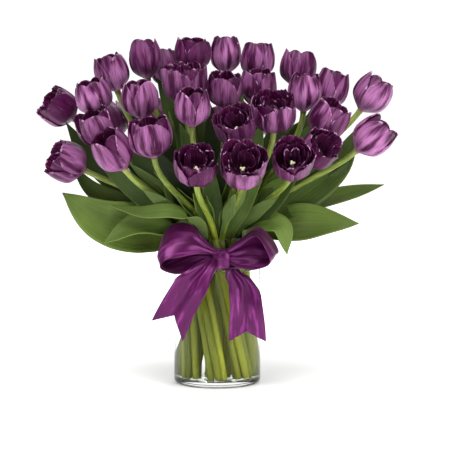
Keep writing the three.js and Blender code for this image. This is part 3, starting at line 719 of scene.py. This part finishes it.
petalShape = {
    "rows": 18, "columns": 20, "openColumns": 28, "openFrom": 0.35, "thick": 0.7,
    "rings": (1.04, 0.9, 0.72, 0.52),  # the outer three, the inner three, and two more in a fuller head
    # For a closed and for a flat open head. The side is three places, by how far out and how far up.
    "side": [((0.88, 0.88), (0.25, 0.25)), ((0.97, 1.02), (0.62, 0.62)), ((0.66, 1.16), (1, 0.92))],
    "valley": (0.5, 0.74), "bluntness": (0.22, 0.3), "ruffle": (0.5, 1.6),
    # the same for every head
    "fullRuffle": 1.0, "fringe": 0.05, "fullFringe": 1.8, "span": 1.03, "narrowing": 0.9, "flatness": 0.07,
    "overlap": 0.8, "waves": 4.2, "waveRise": 2.5, "midrib": 0.5, "midribWidth": 0.12, "ribs": 0.3,
    "ribCount": 13, "spin": 79,  # each head is turned by this many degrees more than the last
    # where on a petal each of these starts and where it is complete
    "ribsRise": (0.1, 0.5), "narrowRise": (0.55, 1.0), "tipRim": (0.93, 1.0), "sideRim": (0.94, 1.0),
    "rimRise": (0.3, 0.6),
}
petalChance = {  # the ranges in which petals differ, some of them for inner or for added petals
    "turn": (-0.08, 0.08), "addedTurn": (-0.6, 0.6), "valley": (-0.05, 0.08), "ruffle": (0.7, 1.3),
    "phase": (0, 6.28), "curl": (-0.6, 2.0), "innerCurl": (-1.5, 1.2), "length": (0.93, 1.0),
    "shorter": (0.0, 0.16), "lean": (-0.06, 0.06), "tone": (-0.35, 0.3), "innerTone": (-0.4, 0.2),
    "width": (0.82, 1.12), "seed": 500,
}
# the blooms with more than six petals, and how many they have
fullHeads = {10: 12, 14: 9, 23: 12, 26: 12, 27: 10, 28: 10, 29: 9}


def petalProfile(bloom):
    # how far out and how high the head's side is, from 0 at the stem to 1 at the tips
    opened = bloom["opened"]
    dots = [(stemPlan["radius"], 0)]
    dots += [(bloom["radius"] * mix(*out, opened), bloom["height"] * mix(*rise, opened))
             for out, rise in petalShape["side"]]

    def at(place):
        spot = min(max(place, 0.0), 1.0) * 3
        first = min(int(spot), 2)
        share = spot - first
        four = [dots[max(first - 1, 0)], dots[first], dots[first + 1], dots[min(first + 2, 3)]]
        result = []
        for before, start, end, after in zip(*four):
            leaving, arriving = (end - before) / 2, (after - start) / 2
            cubic = 2 * start - 2 * end + leaving + arriving
            square = 3 * end - 3 * start - 2 * leaving - arriving
            result.append(cubic * share ** 3 + square * share ** 2 + leaving * share + start)
        return result
    return at


def drawPetal(bloom, number, fullness, draws):
    # what is one petal's own: the first six take turns in the outer and the inner ring
    form, chance, opened = petalShape, petalChance, bloom["opened"]
    added = number > 5
    ring = number % 2 + (2 if added else 0)
    full = added or fullness > 6
    petal = {"columns": form["openColumns"] if opened > form["openFrom"] else form["columns"]}
    petal["middle"] = number * math.pi / 3 + draws.uniform(*chance["addedTurn" if added else "turn"])
    petal["valley"] = mix(*form["valley"], opened) + draws.uniform(*chance["valley"])
    petal["bluntness"] = mix(*form["bluntness"], opened)
    ruffle = mix(*form["ruffle"], opened) + (form["fullRuffle"] if full else 0)
    petal["ruffle"] = ruffle * draws.uniform(*chance["ruffle"])
    petal["phase"] = draws.uniform(*chance["phase"])
    petal["curl"] = draws.uniform(*chance["innerCurl" if ring else "curl"])
    petal["length"] = draws.uniform(*chance["length"]) - (draws.uniform(*chance["shorter"]) if added else 0)
    petal["lean"] = draws.uniform(*chance["lean"])
    tone = bloom["pale"] * (0.5 if ring else 1) + draws.uniform(*chance["innerTone" if ring else "tone"])
    petal["tone"] = min(max(tone, 0.0), 1.0)
    petal["width"] = form["rings"][ring] * (draws.uniform(*chance["width"]) if added else 1.0)
    petal["fringe"] = form["fringe"] * (form["fullFringe"] if full else smooth(0.2, 0.5, opened))
    petal["jags"] = [draws.uniform(0, 1) for _ in range(petal["columns"] + 1)]
    return petal


def addPetal(shape, profile, petal):
    form, columns, phase = petalShape, petal["columns"], petal["phase"]

    def at(across, rise):
        offset = across * math.pi / 3 * form["span"]
        crest = max(math.cos(min(abs(1.5 * offset), math.pi / 2)), 0.0) ** (2 * petal["bluntness"])
        jag = petal["jags"][round((across + 1) / 2 * columns)]
        place = rise * mix(petal["valley"], petal["length"], crest) - petal["fringe"] * jag * rise ** 8
        out, level = profile(place)
        out *= (1 - form["flatness"] * math.sin(1.5 * offset) ** 2 * min(1, place * 3)) * petal["width"]
        out += form["overlap"] * across * min(1, place * 4)
        wave = math.sin(across * form["waves"] + phase + place * form["waveRise"])
        out += petal["ruffle"] * wave * place * place * (0.3 + 0.7 * abs(across))
        midrib = form["midrib"] * math.exp(-(across / form["midribWidth"]) ** 2) * place
        out += petal["curl"] * place ** 5 - midrib
        out += form["ribs"] * math.sin(across * form["ribCount"] + phase) * smooth(*form["ribsRise"], place)
        turn = offset * mix(1.0, form["narrowing"], smooth(*form["narrowRise"], place))
        angle = petal["middle"] + turn + petal["lean"] * place
        sideRim = smooth(*form["sideRim"], abs(across)) * smooth(*form["rimRise"], rise)
        rim = max(smooth(*form["tipRim"], rise), sideRim)
        return outwardAt(angle) * out + up * level, (place, across, rim, petal["tone"])
    addGrid(shape, form["rows"], columns, form["thick"], at)


# Tubes are given by their radii in mm, sides and tone. The floor, top, root, waist and tip are shares of
# the head's height or radius.
heartShape = {
    "style": ([2.0, 2.3, 2.4, 2.3, 2.2, 2.1, 2.0, 2.2, 2.0], 10, 0.2), "floor": 0.08, "top": 0.42,
    "lobe": ([1.6, 1.7, 1.6, 1.3, 0.6], 8, 0.9), "lobeTurn": 0.4, "lobeOut": (0.6, 3.2), "lobeRise": 0.9,
    "lobeBend": 2.4, "stalk": ([0.5, 0.45, 0.4], 6, 0.5), "anther": ([0.5, 1.1, 1.2, 1.0, 0.4], 8, 0.5),
    "root": (0.16, 0.10), "waist": (0.26, 0.24), "tipOut": 0.36, "tipUp": (0.36, 0.42),
    "stamenTurn": (-0.1, 0.1), "seat": ([3.2, 4.2, 5.2, 5.0], 16, 0.3), "seatLevels": (-0.2, 0.4, 1.2, 2.2),
}


def outwardAt(angle):
    return Vector((math.cos(angle), math.sin(angle), 0))


def addHeart(shape, bloom, draws):
    # the pistil with its three pale lobes, six dark stamens round it, and the seat of the petals
    form, height, radius = heartShape, bloom["height"], bloom["radius"]
    floor, top, steps = height * form["floor"], height * form["top"], len(form["style"][0]) - 1
    style = [Vector((0, 0, mix(floor, top, step / steps))) for step in range(steps + 1)]
    addTube(shape, style, *form["style"], finish=1)
    for lobe in range(3):
        out, steps = outwardAt(lobe * 2 * math.pi / 3 + form["lobeTurn"]), len(form["lobe"][0]) - 1
        path = []
        for share in (step / steps for step in range(steps + 1)):
            rise = form["lobeRise"] * math.sin(share * form["lobeBend"])
            path.append(up * (top + rise) + out * mix(*form["lobeOut"], share))
        addTube(shape, path, *form["lobe"], finish=1)
    for stamen in range(6):
        out = outwardAt((stamen + 0.5) * math.pi / 3 + draws.uniform(*form["stamenTurn"]))
        root, waist, tip = (out * (radius * far) + up * (height * high) for far, high in (
            form["root"], form["waist"], (form["tipOut"], draws.uniform(*form["tipUp"]))))
        addTube(shape, [root, root.lerp(waist, 0.5), waist], *form["stalk"], finish=2)
        anther = [waist] + [waist.lerp(tip, share) for share in (0.2, 0.5, 0.8)] + [tip]
        addTube(shape, anther, *form["anther"], finish=2)
    addTube(shape, [up * level for level in form["seatLevels"]], *form["seat"], finish=1)


def makeTulip(number, bloom):
    draws = random.Random(petalChance["seed"] + number)
    shape, profile = newShape(), petalProfile(bloom)
    fullness = fullHeads.get(number + 1, 6)
    for petal in range(fullness):
        addPetal(shape, profile, drawPetal(bloom, petal, fullness, draws))
    addHeart(shape, bloom, draws)
    axis, base = headOf(bloom)
    spin = Matrix.Rotation(number * math.radians(petalShape["spin"]), 4, "Z")
    turn = up.rotation_difference(axis).to_matrix().to_4x4() @ spin
    name = f"{number + 1:02d}"
    makePiece(f"tulip_{name}", shape, [petalSkin, pistilSkin, stamenSkin], [f"bloom_{name}"],
              Matrix.Translation(base) @ turn)


for number, bloom in enumerate(blooms):
    makeTulip(number, bloom)
print("tulip heads made:", len(blooms))


largeLeaves = {  # direction on the vase's wall in degrees, width, where it faces, its way beyond the rim
    "leaf_left_broad": (187, 58, (-0.1, -0.9, 0.4), [(-84, -16, 176), (-127, -32, 187), (-175, -30, 221)]),
    "leaf_left_low": (218, 40, (-0.3, -0.8, 0.6), [(-65, -36, 187), (-96, -50, 184), (-126, -58, 167)]),
    "leaf_front_slender": (250, 19, (-0.1, -0.8, 0.6), [(-26, -62, 193), (-50, -66, 203), (-84, -64, 202),
                                                        (-121, -62, 210)]),
    "leaf_right_droop": (322, 33, (0.4, -0.7, 0.5), [(56, -42, 188), (72, -48, 184), (79, -51, 153)]),
    "leaf_right_broad": (347, 48, (0.2, -0.85, 0.6), [(80, -22, 183), (120, -32, 187), (160, -38, 187)]),
    "leaf_right_long": (14, 32, (0, -0.7, 0.7), [(80, 16, 199), (135, 18, 213), (193, 14, 228)]),
    "leaf_back_right": (50, 36, (0.3, 0.6, 0.8), [(58, 68, 192), (88, 98, 203), (120, 124, 192)]),
    "leaf_back": (96, 34, (0, 0.7, 0.7), [(-8, 80, 195), (-14, 115, 204), (-24, 150, 190)]),
    "leaf_back_left": (142, 40, (-0.4, 0.6, 0.7), [(-66, 54, 194), (-100, 82, 206), (-138, 104, 200)]),
}
largeLeafSeat = {
    "gap": 1.95, "rise": [(0, 138), (0, 154), (-3, 168), (2, 181)],  # along the wall's inside: out, height
    "root": 11, "rootShare": 0.36, "wave": 0.06, "tone": (0.15, 0.6),
}
bladeShape = {
    "columns": 12, "rows": 40, "stemLeafRows": 28, "innerRows": 30, "thick": 0.7, "turn": (0.22, 0.65),
    "swell": (0.12, 0.5), "taperFrom": 0.5, "taperPower": 2.2, "least": 0.02, "channelRadius": 42,
    "waves": 11, "midrib": 0.35, "midribWidth": 0.1, "margin": (0.9, 1.0),
}


def addBlade(shape, way, width, faces, wave, rootWidth, tone, rows):
    # a leaf's blade along its way, with the direction that its upper side faces at the root and further out
    form = bladeShape
    rib = alongCurve(way, rows + 1)
    tangents = tangentsOf(rib)

    def at(u, v):
        row = round(v * rows)
        facing = faces[0].lerp(faces[1], smooth(*form["turn"], v))
        across = tangents[row].cross(facing).normalized()
        normal = across.cross(tangents[row]).normalized()
        taper = 1 - max(0, (v - form["taperFrom"]) / (1 - form["taperFrom"])) ** form["taperPower"]
        half = width / 2 * max(mix(rootWidth, 1, smooth(*form["swell"], v)) * taper, form["least"])
        channel = half * half / (2 * form["channelRadius"])
        ripple = wave * u * math.sin(v * form["waves"] + width) * v * (1 - v) * 4
        ripple -= form["midrib"] * math.exp(-(u / form["midribWidth"]) ** 2) * taper
        point = rib[row] + across * (u * half) + normal * (channel * u * u + ripple)
        return point, (v, u, smooth(*form["margin"], abs(u)), tone)
    addGrid(shape, rows, form["columns"], form["thick"], at)


def makeLargeLeaf(name, leaf):
    root, width, faces, way = leaf
    seat = largeLeafSeat
    outward = outwardAt(math.radians(root))
    inside = vase["radius"] - vase["wall"] - seat["gap"]
    wall = [outward * (inside + out) + up * height for out, height in seat["rise"]]
    shape = newShape()
    tone = random.Random(root).uniform(*seat["tone"])
    addBlade(shape, wall + [Vector(point) for point in way], width, (-outward, Vector(faces).normalized()),
             width * seat["wave"], min(seat["rootShare"], seat["root"] / width), tone, bladeShape["rows"])
    makePiece(name + "_blade", shape, [leafSkin], [name])


for name, leaf in largeLeaves.items():
    makeLargeLeaf(name, leaf)
print("large leaves made:", len(largeLeaves))


# the stems, bunch by bunch, with the leaves that grow on them
def addStem(shape, foot, neck, fan, number):
    plan = stemPlan
    path = [foot.lerp(neck, step / plan["straightSteps"]) for step in range(plan["straightSteps"])]
    path += [fan(step / plan["steps"]) for step in range(plan["steps"] + 1)]
    last = len(path) - 1
    radii = [plan["radius"] * mix(1.0, plan["thinnest"], place / last) for place in range(last + 1)]
    radii[0] *= plan["cutEnd"]
    radii[-1] *= plan["underHead"]
    tone = random.Random(plan["seed"] + number).uniform(0, 1)
    addTube(shape, path, radii, plan["sides"], tone, finish=1)


stemLeaves = [  # the bloom whose stem it grows from, how far up, on which side, length, width, bend
    (7, 0.1, 80, 80, 24, 0.15), (9, 0.2, 200, 80, 22, 0.2), (27, 0.25, 310, 62, 20, 0.2),
    (28, 0.2, 60, 76, 22, 0.2), (29, 0.2, 80, 75, 20, 0.2), (21, 0.08, 100, 150, 32, 0.1),
    (13, 0.2, 170, 90, 20, 0.15), (30, 0.2, 200, 80, 22, 0.2), (34, 0.2, 20, 80, 22, 0.2),
]
# the seat and the near place are in stem radii, and toward is a share of how far the leaf leans out
stemLeafForm = {"seat": 0.6, "near": 2.5, "toward": 0.7, "wave": 1, "root": 0.3, "tone": 0.05}


def addStemLeaf(shape, grow, fan):
    _, place, side, length, width, bend = grow
    form = stemLeafForm
    start = fan(place)
    tangent = (fan(place + 0.01) - fan(place - 0.01)).normalized()
    outward = outwardAt(math.radians(side))
    radius, lean = stemPlan["radius"], length * bend
    way = [start + tangent * (length * share) + outward * out for share, out in (
        (0, radius * form["seat"]), (0.33, radius * form["near"]), (0.66, lean * form["toward"]), (1, lean))]
    addBlade(shape, way, width, (-outward, -outward), form["wave"], form["root"], form["tone"],
             bladeShape["stemLeafRows"])


# slender leaves that run up beside each stem, each on its own side and with its own length
clasping = {  # near and reach are shares of away
    "sides": (95, 60, 125, 265), "turn": (-20, 20), "from": (0.0, 0.12), "span": (0.42, 0.74), "highest": 0.9,
    "width": (9, 17), "seat": 2.5, "near": 0.6, "away": 10, "reach": (0.8, 1.8), "wave": 1.5, "root": 0.35,
    "tones": (0.0, 0.05, 0.1), "seed": 300,
}


def addClaspingLeaf(shape, number, fan):
    look = clasping
    draws = random.Random(look["seed"] + 7 * number)
    side = outwardAt(math.radians(look["sides"][number % 4] + draws.uniform(*look["turn"])))
    start, span = draws.uniform(*look["from"]), draws.uniform(*look["span"])
    away = look["away"]
    reach = away * draws.uniform(*look["reach"])
    way = [fan(min(start + span * share, look["highest"])) + side * out for share, out in (
        (0, look["seat"]), (0.3, away * look["near"]), (0.65, away), (1, reach))]
    addBlade(shape, way, draws.uniform(*look["width"]), (-side, -side), look["wave"], look["root"],
             look["tones"][number % 3], bladeShape["stemLeafRows"])


# broad leaves inside the bouquet, darkened with painted shade: the stem each grows from, its width, its tip
# and how far it sags
innerLeaves = [
    (5, 32, (-166, -8, 252), 14), (7, 30, (-138, -35, 264), 6), (4, 32, (-130, 8, 302), 4),
    (6, 30, (-112, -20, 288), 0), (3, 38, (-174, 8, 300), 14), (8, 30, (-104, 5, 340), 0),
    (2, 28, (-113, 20, 347), 0), (13, 30, (-42, -40, 300), 0), (9, 28, (-76, -50, 275), 0),
    (24, 34, (-8, -10, 322), 0), (26, 34, (12, -45, 290), 0), (23, 30, (52, -30, 302), 0),
    (14, 26, (-8, -80, 258), 0), (11, 32, (-30, 20, 347), 0), (25, 34, (55, 10, 325), 0),
    (18, 30, (88, 0, 330), 0), (10, 34, (-52, 0, 320), 0), (12, 28, (-71, 40, 356), 0),
    (35, 36, (-15, 50, 330), 0), (36, 36, (30, 50, 332), 0), (33, 36, (98, 60, 300), 0),
    (31, 36, (-72, 60, 300), 0), (30, 34, (-120, 50, 288), 4), (29, 48, (160, 2, 293), 16),
    (22, 32, (128, -20, 292), 0), (21, 30, (152, -14, 258), 12), (19, 30, (120, 15, 320), 0),
    (34, 34, (135, 50, 290), 6), (28, 28, (94, -60, 252), 4), (27, 28, (52, -90, 246), 0),
    (15, 30, (6, 0, 262), 0), (16, 32, (24, 10, 262), 0), (32, 34, (2, 60, 268), 0),
    (1, 30, (-60, 10, 300), 0), (17, 36, (34, 30, 270), 0), (25, 34, (24, -8, 262), 0),
]
# the inner leaves' tones lie below 0, so their finish darkens them with painted shade
innerLeafForm = {
    "start": (0.0, 0.07), "depth": 14, "rise": 0.12, "lowRise": 0.8, "lowSag": 0.6, "turn": (-0.35, 0.35),
    "upward": 0.15, "width": 0.85, "wave": 2.0, "root": 0.36, "tone": (-1.3, -0.3),
}


def addInnerLeaf(shape, leaf, fan):
    number, width, tip, sag = leaf
    form, draws, tip = innerLeafForm, random.Random(number), Vector(tip)
    start = draws.uniform(*form["start"])
    upward = (fan(start + 0.02) - fan(start)).normalized()
    root = fan(start) - upward * form["depth"]
    rise = upward * (tip - root).length * form["rise"]
    sagging = Vector((math.copysign(sag, tip.x), 0, -sag))
    low = root.lerp(tip, 0.33) + rise * form["lowRise"] + sagging * form["lowSag"]
    high = root.lerp(tip, 0.66) + rise + sagging
    faces = Vector((draws.uniform(*form["turn"]), -1, form["upward"])).normalized()
    addBlade(shape, [root, low, high, tip], width * form["width"], (faces, faces), form["wave"],
             form["root"], draws.uniform(*form["tone"]), bladeShape["innerRows"])


def growingOn(table, number):
    return [row for row in table if row[0] == number + 1]


for number, bunch in enumerate(dealBunches()):
    placeInBunch(bunch)
    shape = newShape()
    for stem in bunch["stems"]:
        foot, neck, fan = stemLine(stem)
        addStem(shape, foot, neck, fan, stem["number"])
        for grow in growingOn(stemLeaves, stem["number"]):
            addStemLeaf(shape, grow, fan)
        for leaf in growingOn(innerLeaves, stem["number"]):
            addInnerLeaf(shape, leaf, fan)
        addClaspingLeaf(shape, stem["number"], fan)
        addClaspingLeaf(shape, stem["number"] + len(blooms) + 1, fan)
    makePiece(f"stem_bunch_{number + 1}", shape, [leafSkin, stemSkin], [f"stems_{number + 1}"])
print("stems made")


ribbon = {"thick": 0.9, "edge": (0.93, 1.0)}


def makeRibbon(name, node, pointAt, form, tone, wrap=False):
    def at(u, v):
        return pointAt(u, v), (v, u, smooth(*ribbon["edge"], v if wrap else abs(u)), tone)
    shape = newShape()
    addGrid(shape, form["rows"], form["columns"], ribbon["thick"], at, wrap)
    return makePiece(name, shape, [ribbonSatin], [node])


bandShape = {
    "low": 136, "high": 160, "gap": 0.35, "pleats": 5, "depth": 2.6, "sway": 0.6, "rounding": 0.3,
    "rows": 60, "columns": 96, "tone": 0.1,
}


def makeBand():
    form = bandShape
    inside = vase["radius"] + form["gap"] + ribbon["thick"]

    def pointAt(u, v):
        angle = math.pi * u
        pleat = (1 - math.cos(v * math.pi * 2 * form["pleats"] + form["sway"] * math.sin(angle * 3))) / 2
        out = inside + form["depth"] * pleat * math.sin(math.pi * v) ** form["rounding"]
        return outwardAt(angle) * out + up * mix(form["low"], form["high"], v)
    return makeRibbon("ribbon_round_vase", "ribbon_band", pointAt, form, form["tone"], wrap=True)


knotShape = {
    "centre": (4.5, -58, 148), "size": (19, 11, 22), "squareness": 2.6, "pinch": 0.16, "folds": 0.05,
    "foldCount": 17, "rows": 26, "columns": 40, "tone": 0.3,
}


def makeKnot():
    form = knotShape
    centre, (width, depth, height), power = Vector(form["centre"]), form["size"], form["squareness"]

    def pointAt(u, v):
        forward, upward = math.cos(math.pi * u), math.sin(math.pi * u)
        box = 1 / (abs(forward) ** power + abs(upward) ** power) ** (1 / power)
        pinch = 1 - form["pinch"] * (2 * v - 1) ** 4 + form["folds"] * math.cos(v * form["foldCount"])
        return centre + Vector((mix(-width / 2, width / 2, v), forward * box * depth / 2 * pinch,
                                upward * box * height / 2 * pinch))
    return makeRibbon("ribbon_tied_knot", "ribbon_knot", pointAt, form, form["tone"], wrap=True)


# the two edges of each loop, from the knot's top out to the far end and back to the knot's bottom
loops = {
    "ribbon_loop_right": {
        "back": [(12, -57, 160), (29, -55, 172), (46, -53, 185), (62, -52, 172), (69, -54, 157),
                 (59, -56, 167), (40, -56, 174), (15, -57, 159)],
        "front": [(12, -61, 156), (29, -70, 168), (43, -82, 176), (52, -88, 166), (59, -84, 146),
                  (45, -78, 139), (26, -69, 139), (13, -61, 144)],
        "bulge": 2.5, "tone": 0.75,
    },
    "ribbon_loop_left": {
        "back": [(-3, -57, 160), (-16, -55, 172), (-29, -53, 186), (-52, -51, 185), (-65, -54, 147),
                 (-47, -56, 154), (-24, -56, 161), (-4, -57, 155)],
        "front": [(-4, -61, 153), (-19, -70, 155), (-39, -80, 153), (-58, -86, 149), (-62, -86, 142),
                  (-44, -80, 135), (-23, -69, 140), (-4, -61, 144)],
        "bulge": -2.5, "tone": 0.25,
    },
}
loopShape = {
    "rows": 90, "columns": 24, "gather": 1.3, "gathers": 3, "gathered": 0.7, "crease": 0.7,
    "creaseTurn": (5, 9), "rounded": 0.5,
}


def makeLoop(name, node):
    form, loop, rows = loopShape, loops[node], loopShape["rows"]
    back, front = alongCurve(loop["back"], rows + 1), alongCurve(loop["front"], rows + 1)
    tangents = tangentsOf([low.lerp(high, 0.5) for low, high in zip(back, front)])

    def pointAt(u, v):
        row = round(v * rows)
        edge = front[row] - back[row]
        out = edge.cross(tangents[row]).normalized()
        near = min(v, 1 - v) * 2
        gather = form["gather"] * (1 - smooth(0, form["gathered"], near))
        gather *= math.cos(u * math.pi * form["gathers"])
        crease = form["crease"] * math.sin(u * form["creaseTurn"][0] + v * form["creaseTurn"][1]) * near
        bulge = loop["bulge"] * (1 - u * u) * smooth(0, form["rounded"], near)
        return back[row] + edge * ((u + 1) / 2) + out * (bulge + gather + crease)
    return makeRibbon(name, node, pointAt, form, loop["tone"])


tails = {  # the middle line from the knot down, the half width along it, the notch, the tilt
    "ribbon_tail_left": {
        "way": [(-5, -64, 150), (-13, -76, 141), (-27, -80, 123), (-42, -73, 97), (-56, -66, 68)],
        "half": [(0, 6), (0.18, 13), (0.45, 19), (1, 21)], "notch": 0.2, "tilt": -0.6, "tone": 0.72,
    },
    "ribbon_tail_right": {
        "way": [(17, -57, 137), (29, -58, 118), (33, -60, 95), (34, -58, 55)],
        "half": [(0, 7), (0.15, 14), (0.4, 18), (1, 21)], "notch": 0.14, "tilt": 0.0, "tone": 0.9,
    },
}
tailShape = {
    "rows": 56, "columns": 28, "steps": 100, "fold": 2.6, "foldTurn": (3, 4), "gather": 2.2,
    "gatherTurn": (7, 0.6), "tilted": 0.5,
}


def readTable(table, value):
    for (low, first), (high, second) in zip(table, table[1:]):
        if value <= high:
            return mix(first, second, smooth(low, high, value))
    return table[-1][1]


def makeTail(name, node):
    form, tail = tailShape, tails[node]
    line = alongCurve(tail["way"], form["steps"] + 1)

    def pointAt(u, v):
        along = min(max(v * (1 - tail["notch"] * (1 - abs(u))), 0), 1)
        spot = along * form["steps"]
        first = min(int(spot), form["steps"] - 1)
        centre = line[first].lerp(line[first + 1], spot - first)
        half = u * readTable(tail["half"], along)
        fold = form["fold"] * math.sin(u * form["foldTurn"][0] + along * form["foldTurn"][1])
        fold += form["gather"] * (1 - along) * math.cos(u * form["gatherTurn"][0] + form["gatherTurn"][1])
        tilt = tail["tilt"] * smooth(0, form["tilted"], along)
        return Vector((centre.x + half * math.cos(tilt), centre.y + fold, centre.z + half * math.sin(tilt)))
    return makeRibbon(name, node, pointAt, form, tail["tone"])


band = makeBand()
knot = makeKnot()
loopLeft = makeLoop("ribbon_bow_left", "ribbon_loop_left")
loopRight = makeLoop("ribbon_bow_right", "ribbon_loop_right")
tailLeft = makeTail("ribbon_end_left", "ribbon_tail_left")
tailRight = makeTail("ribbon_end_right", "ribbon_tail_right")
print("ribbon made")


studio = {  # lengths in metres
    "floor": (0.90, 0.90, 0.905), "floorPatch": (0.92, 0.92, 0.92), "patches": 2.0, "reach": 12.0,
    "sockets": {"Roughness": 0.5, "Specular IOR Level": 0.2, "Emission Color": (1, 1, 1, 1)},
    "surround": 0.22, "backdrop": 1.05, "fade": (0.06, 0.45), "paintedGlow": (0.72, 0.24),
}
lamps = {  # place and aim and size in metres, and watts
    "key_light": ((-0.3, -1.0, 2.1), (0.0, 0.0, 0.25), 1.7, 59),
    "fill_light": ((1.6, -1.4, 0.9), (0.0, 0.0, 0.25), 1.3, 20),
    "back_light": ((0.4, 1.3, 1.7), (0.0, 0.0, 0.3), 1.0, 14),
}


def makeFloor():
    mesh, reach = bpy.data.meshes.new("floor"), studio["reach"]
    corners = [(-reach, -reach, 0), (reach, -reach, 0), (reach, reach, 0), (-reach, reach, 0)]
    mesh.from_pydata(corners, [], [(0, 1, 2, 3)])
    floor = bpy.data.objects.new("floor", mesh)
    bpy.context.scene.collection.objects.link(floor)
    material, tree, shader = newFinish("pale_floor", studio["sockets"])
    patches = noise(tree, where(tree), studio["patches"])
    body = colourMix(tree, patches, studio["floor"], studio["floorPatch"])
    tree.links.new(body, shader.inputs["Base Color"])
    # painted light: the floor glows, faintly near the vase, which lightens the vase's shadow, and fully
    # further out, where it fades into the evenly bright backdrop
    distance = tree.nodes.new("ShaderNodeVectorMath")
    distance.operation = "LENGTH"
    tree.links.new(where(tree), distance.inputs[0])
    near, far = studio["fade"]
    faded = within(tree, distance.outputs["Value"], (1 / (far - near), -near / (far - near)))
    paintedGlow = sums(tree, "MULTIPLY_ADD", faded, *studio["paintedGlow"])
    tree.links.new(paintedGlow, shader.inputs["Emission Strength"])
    mesh.materials.append(material)


def addLamp(name, place, aim, size, power):
    lamp = bpy.data.objects.new(name, bpy.data.lights.new(name, "AREA"))
    lamp.data.shape = "DISK"
    lamp.data.size = size
    lamp.data.energy = power
    aimAt(lamp, place, aim)


def makeSurround():
    world = bpy.data.worlds.new("surround")
    bpy.context.scene.world = world
    world.use_nodes = True
    tree = world.node_tree
    background = tree.nodes["Background"]
    path = tree.nodes.new("ShaderNodeLightPath")
    # the backdrop is bright to the eye and through the glass, and dimmer as a light
    direct = sums(tree, "LESS_THAN", path.outputs["Diffuse Depth"], 0.5)
    glassy = product(tree, path.outputs["Is Transmission Ray"], direct)
    seen = sums(tree, "MAXIMUM", path.outputs["Is Camera Ray"], glassy)
    strength = sums(tree, "MULTIPLY_ADD", seen, studio["backdrop"] - studio["surround"], studio["surround"])
    tree.links.new(strength, background.inputs["Strength"])
    background.inputs["Color"].default_value = (1, 1, 1, 1)


makeFloor()
makeSurround()
for name, lamp in lamps.items():
    addLamp(name, *lamp)
print("floor and light made")
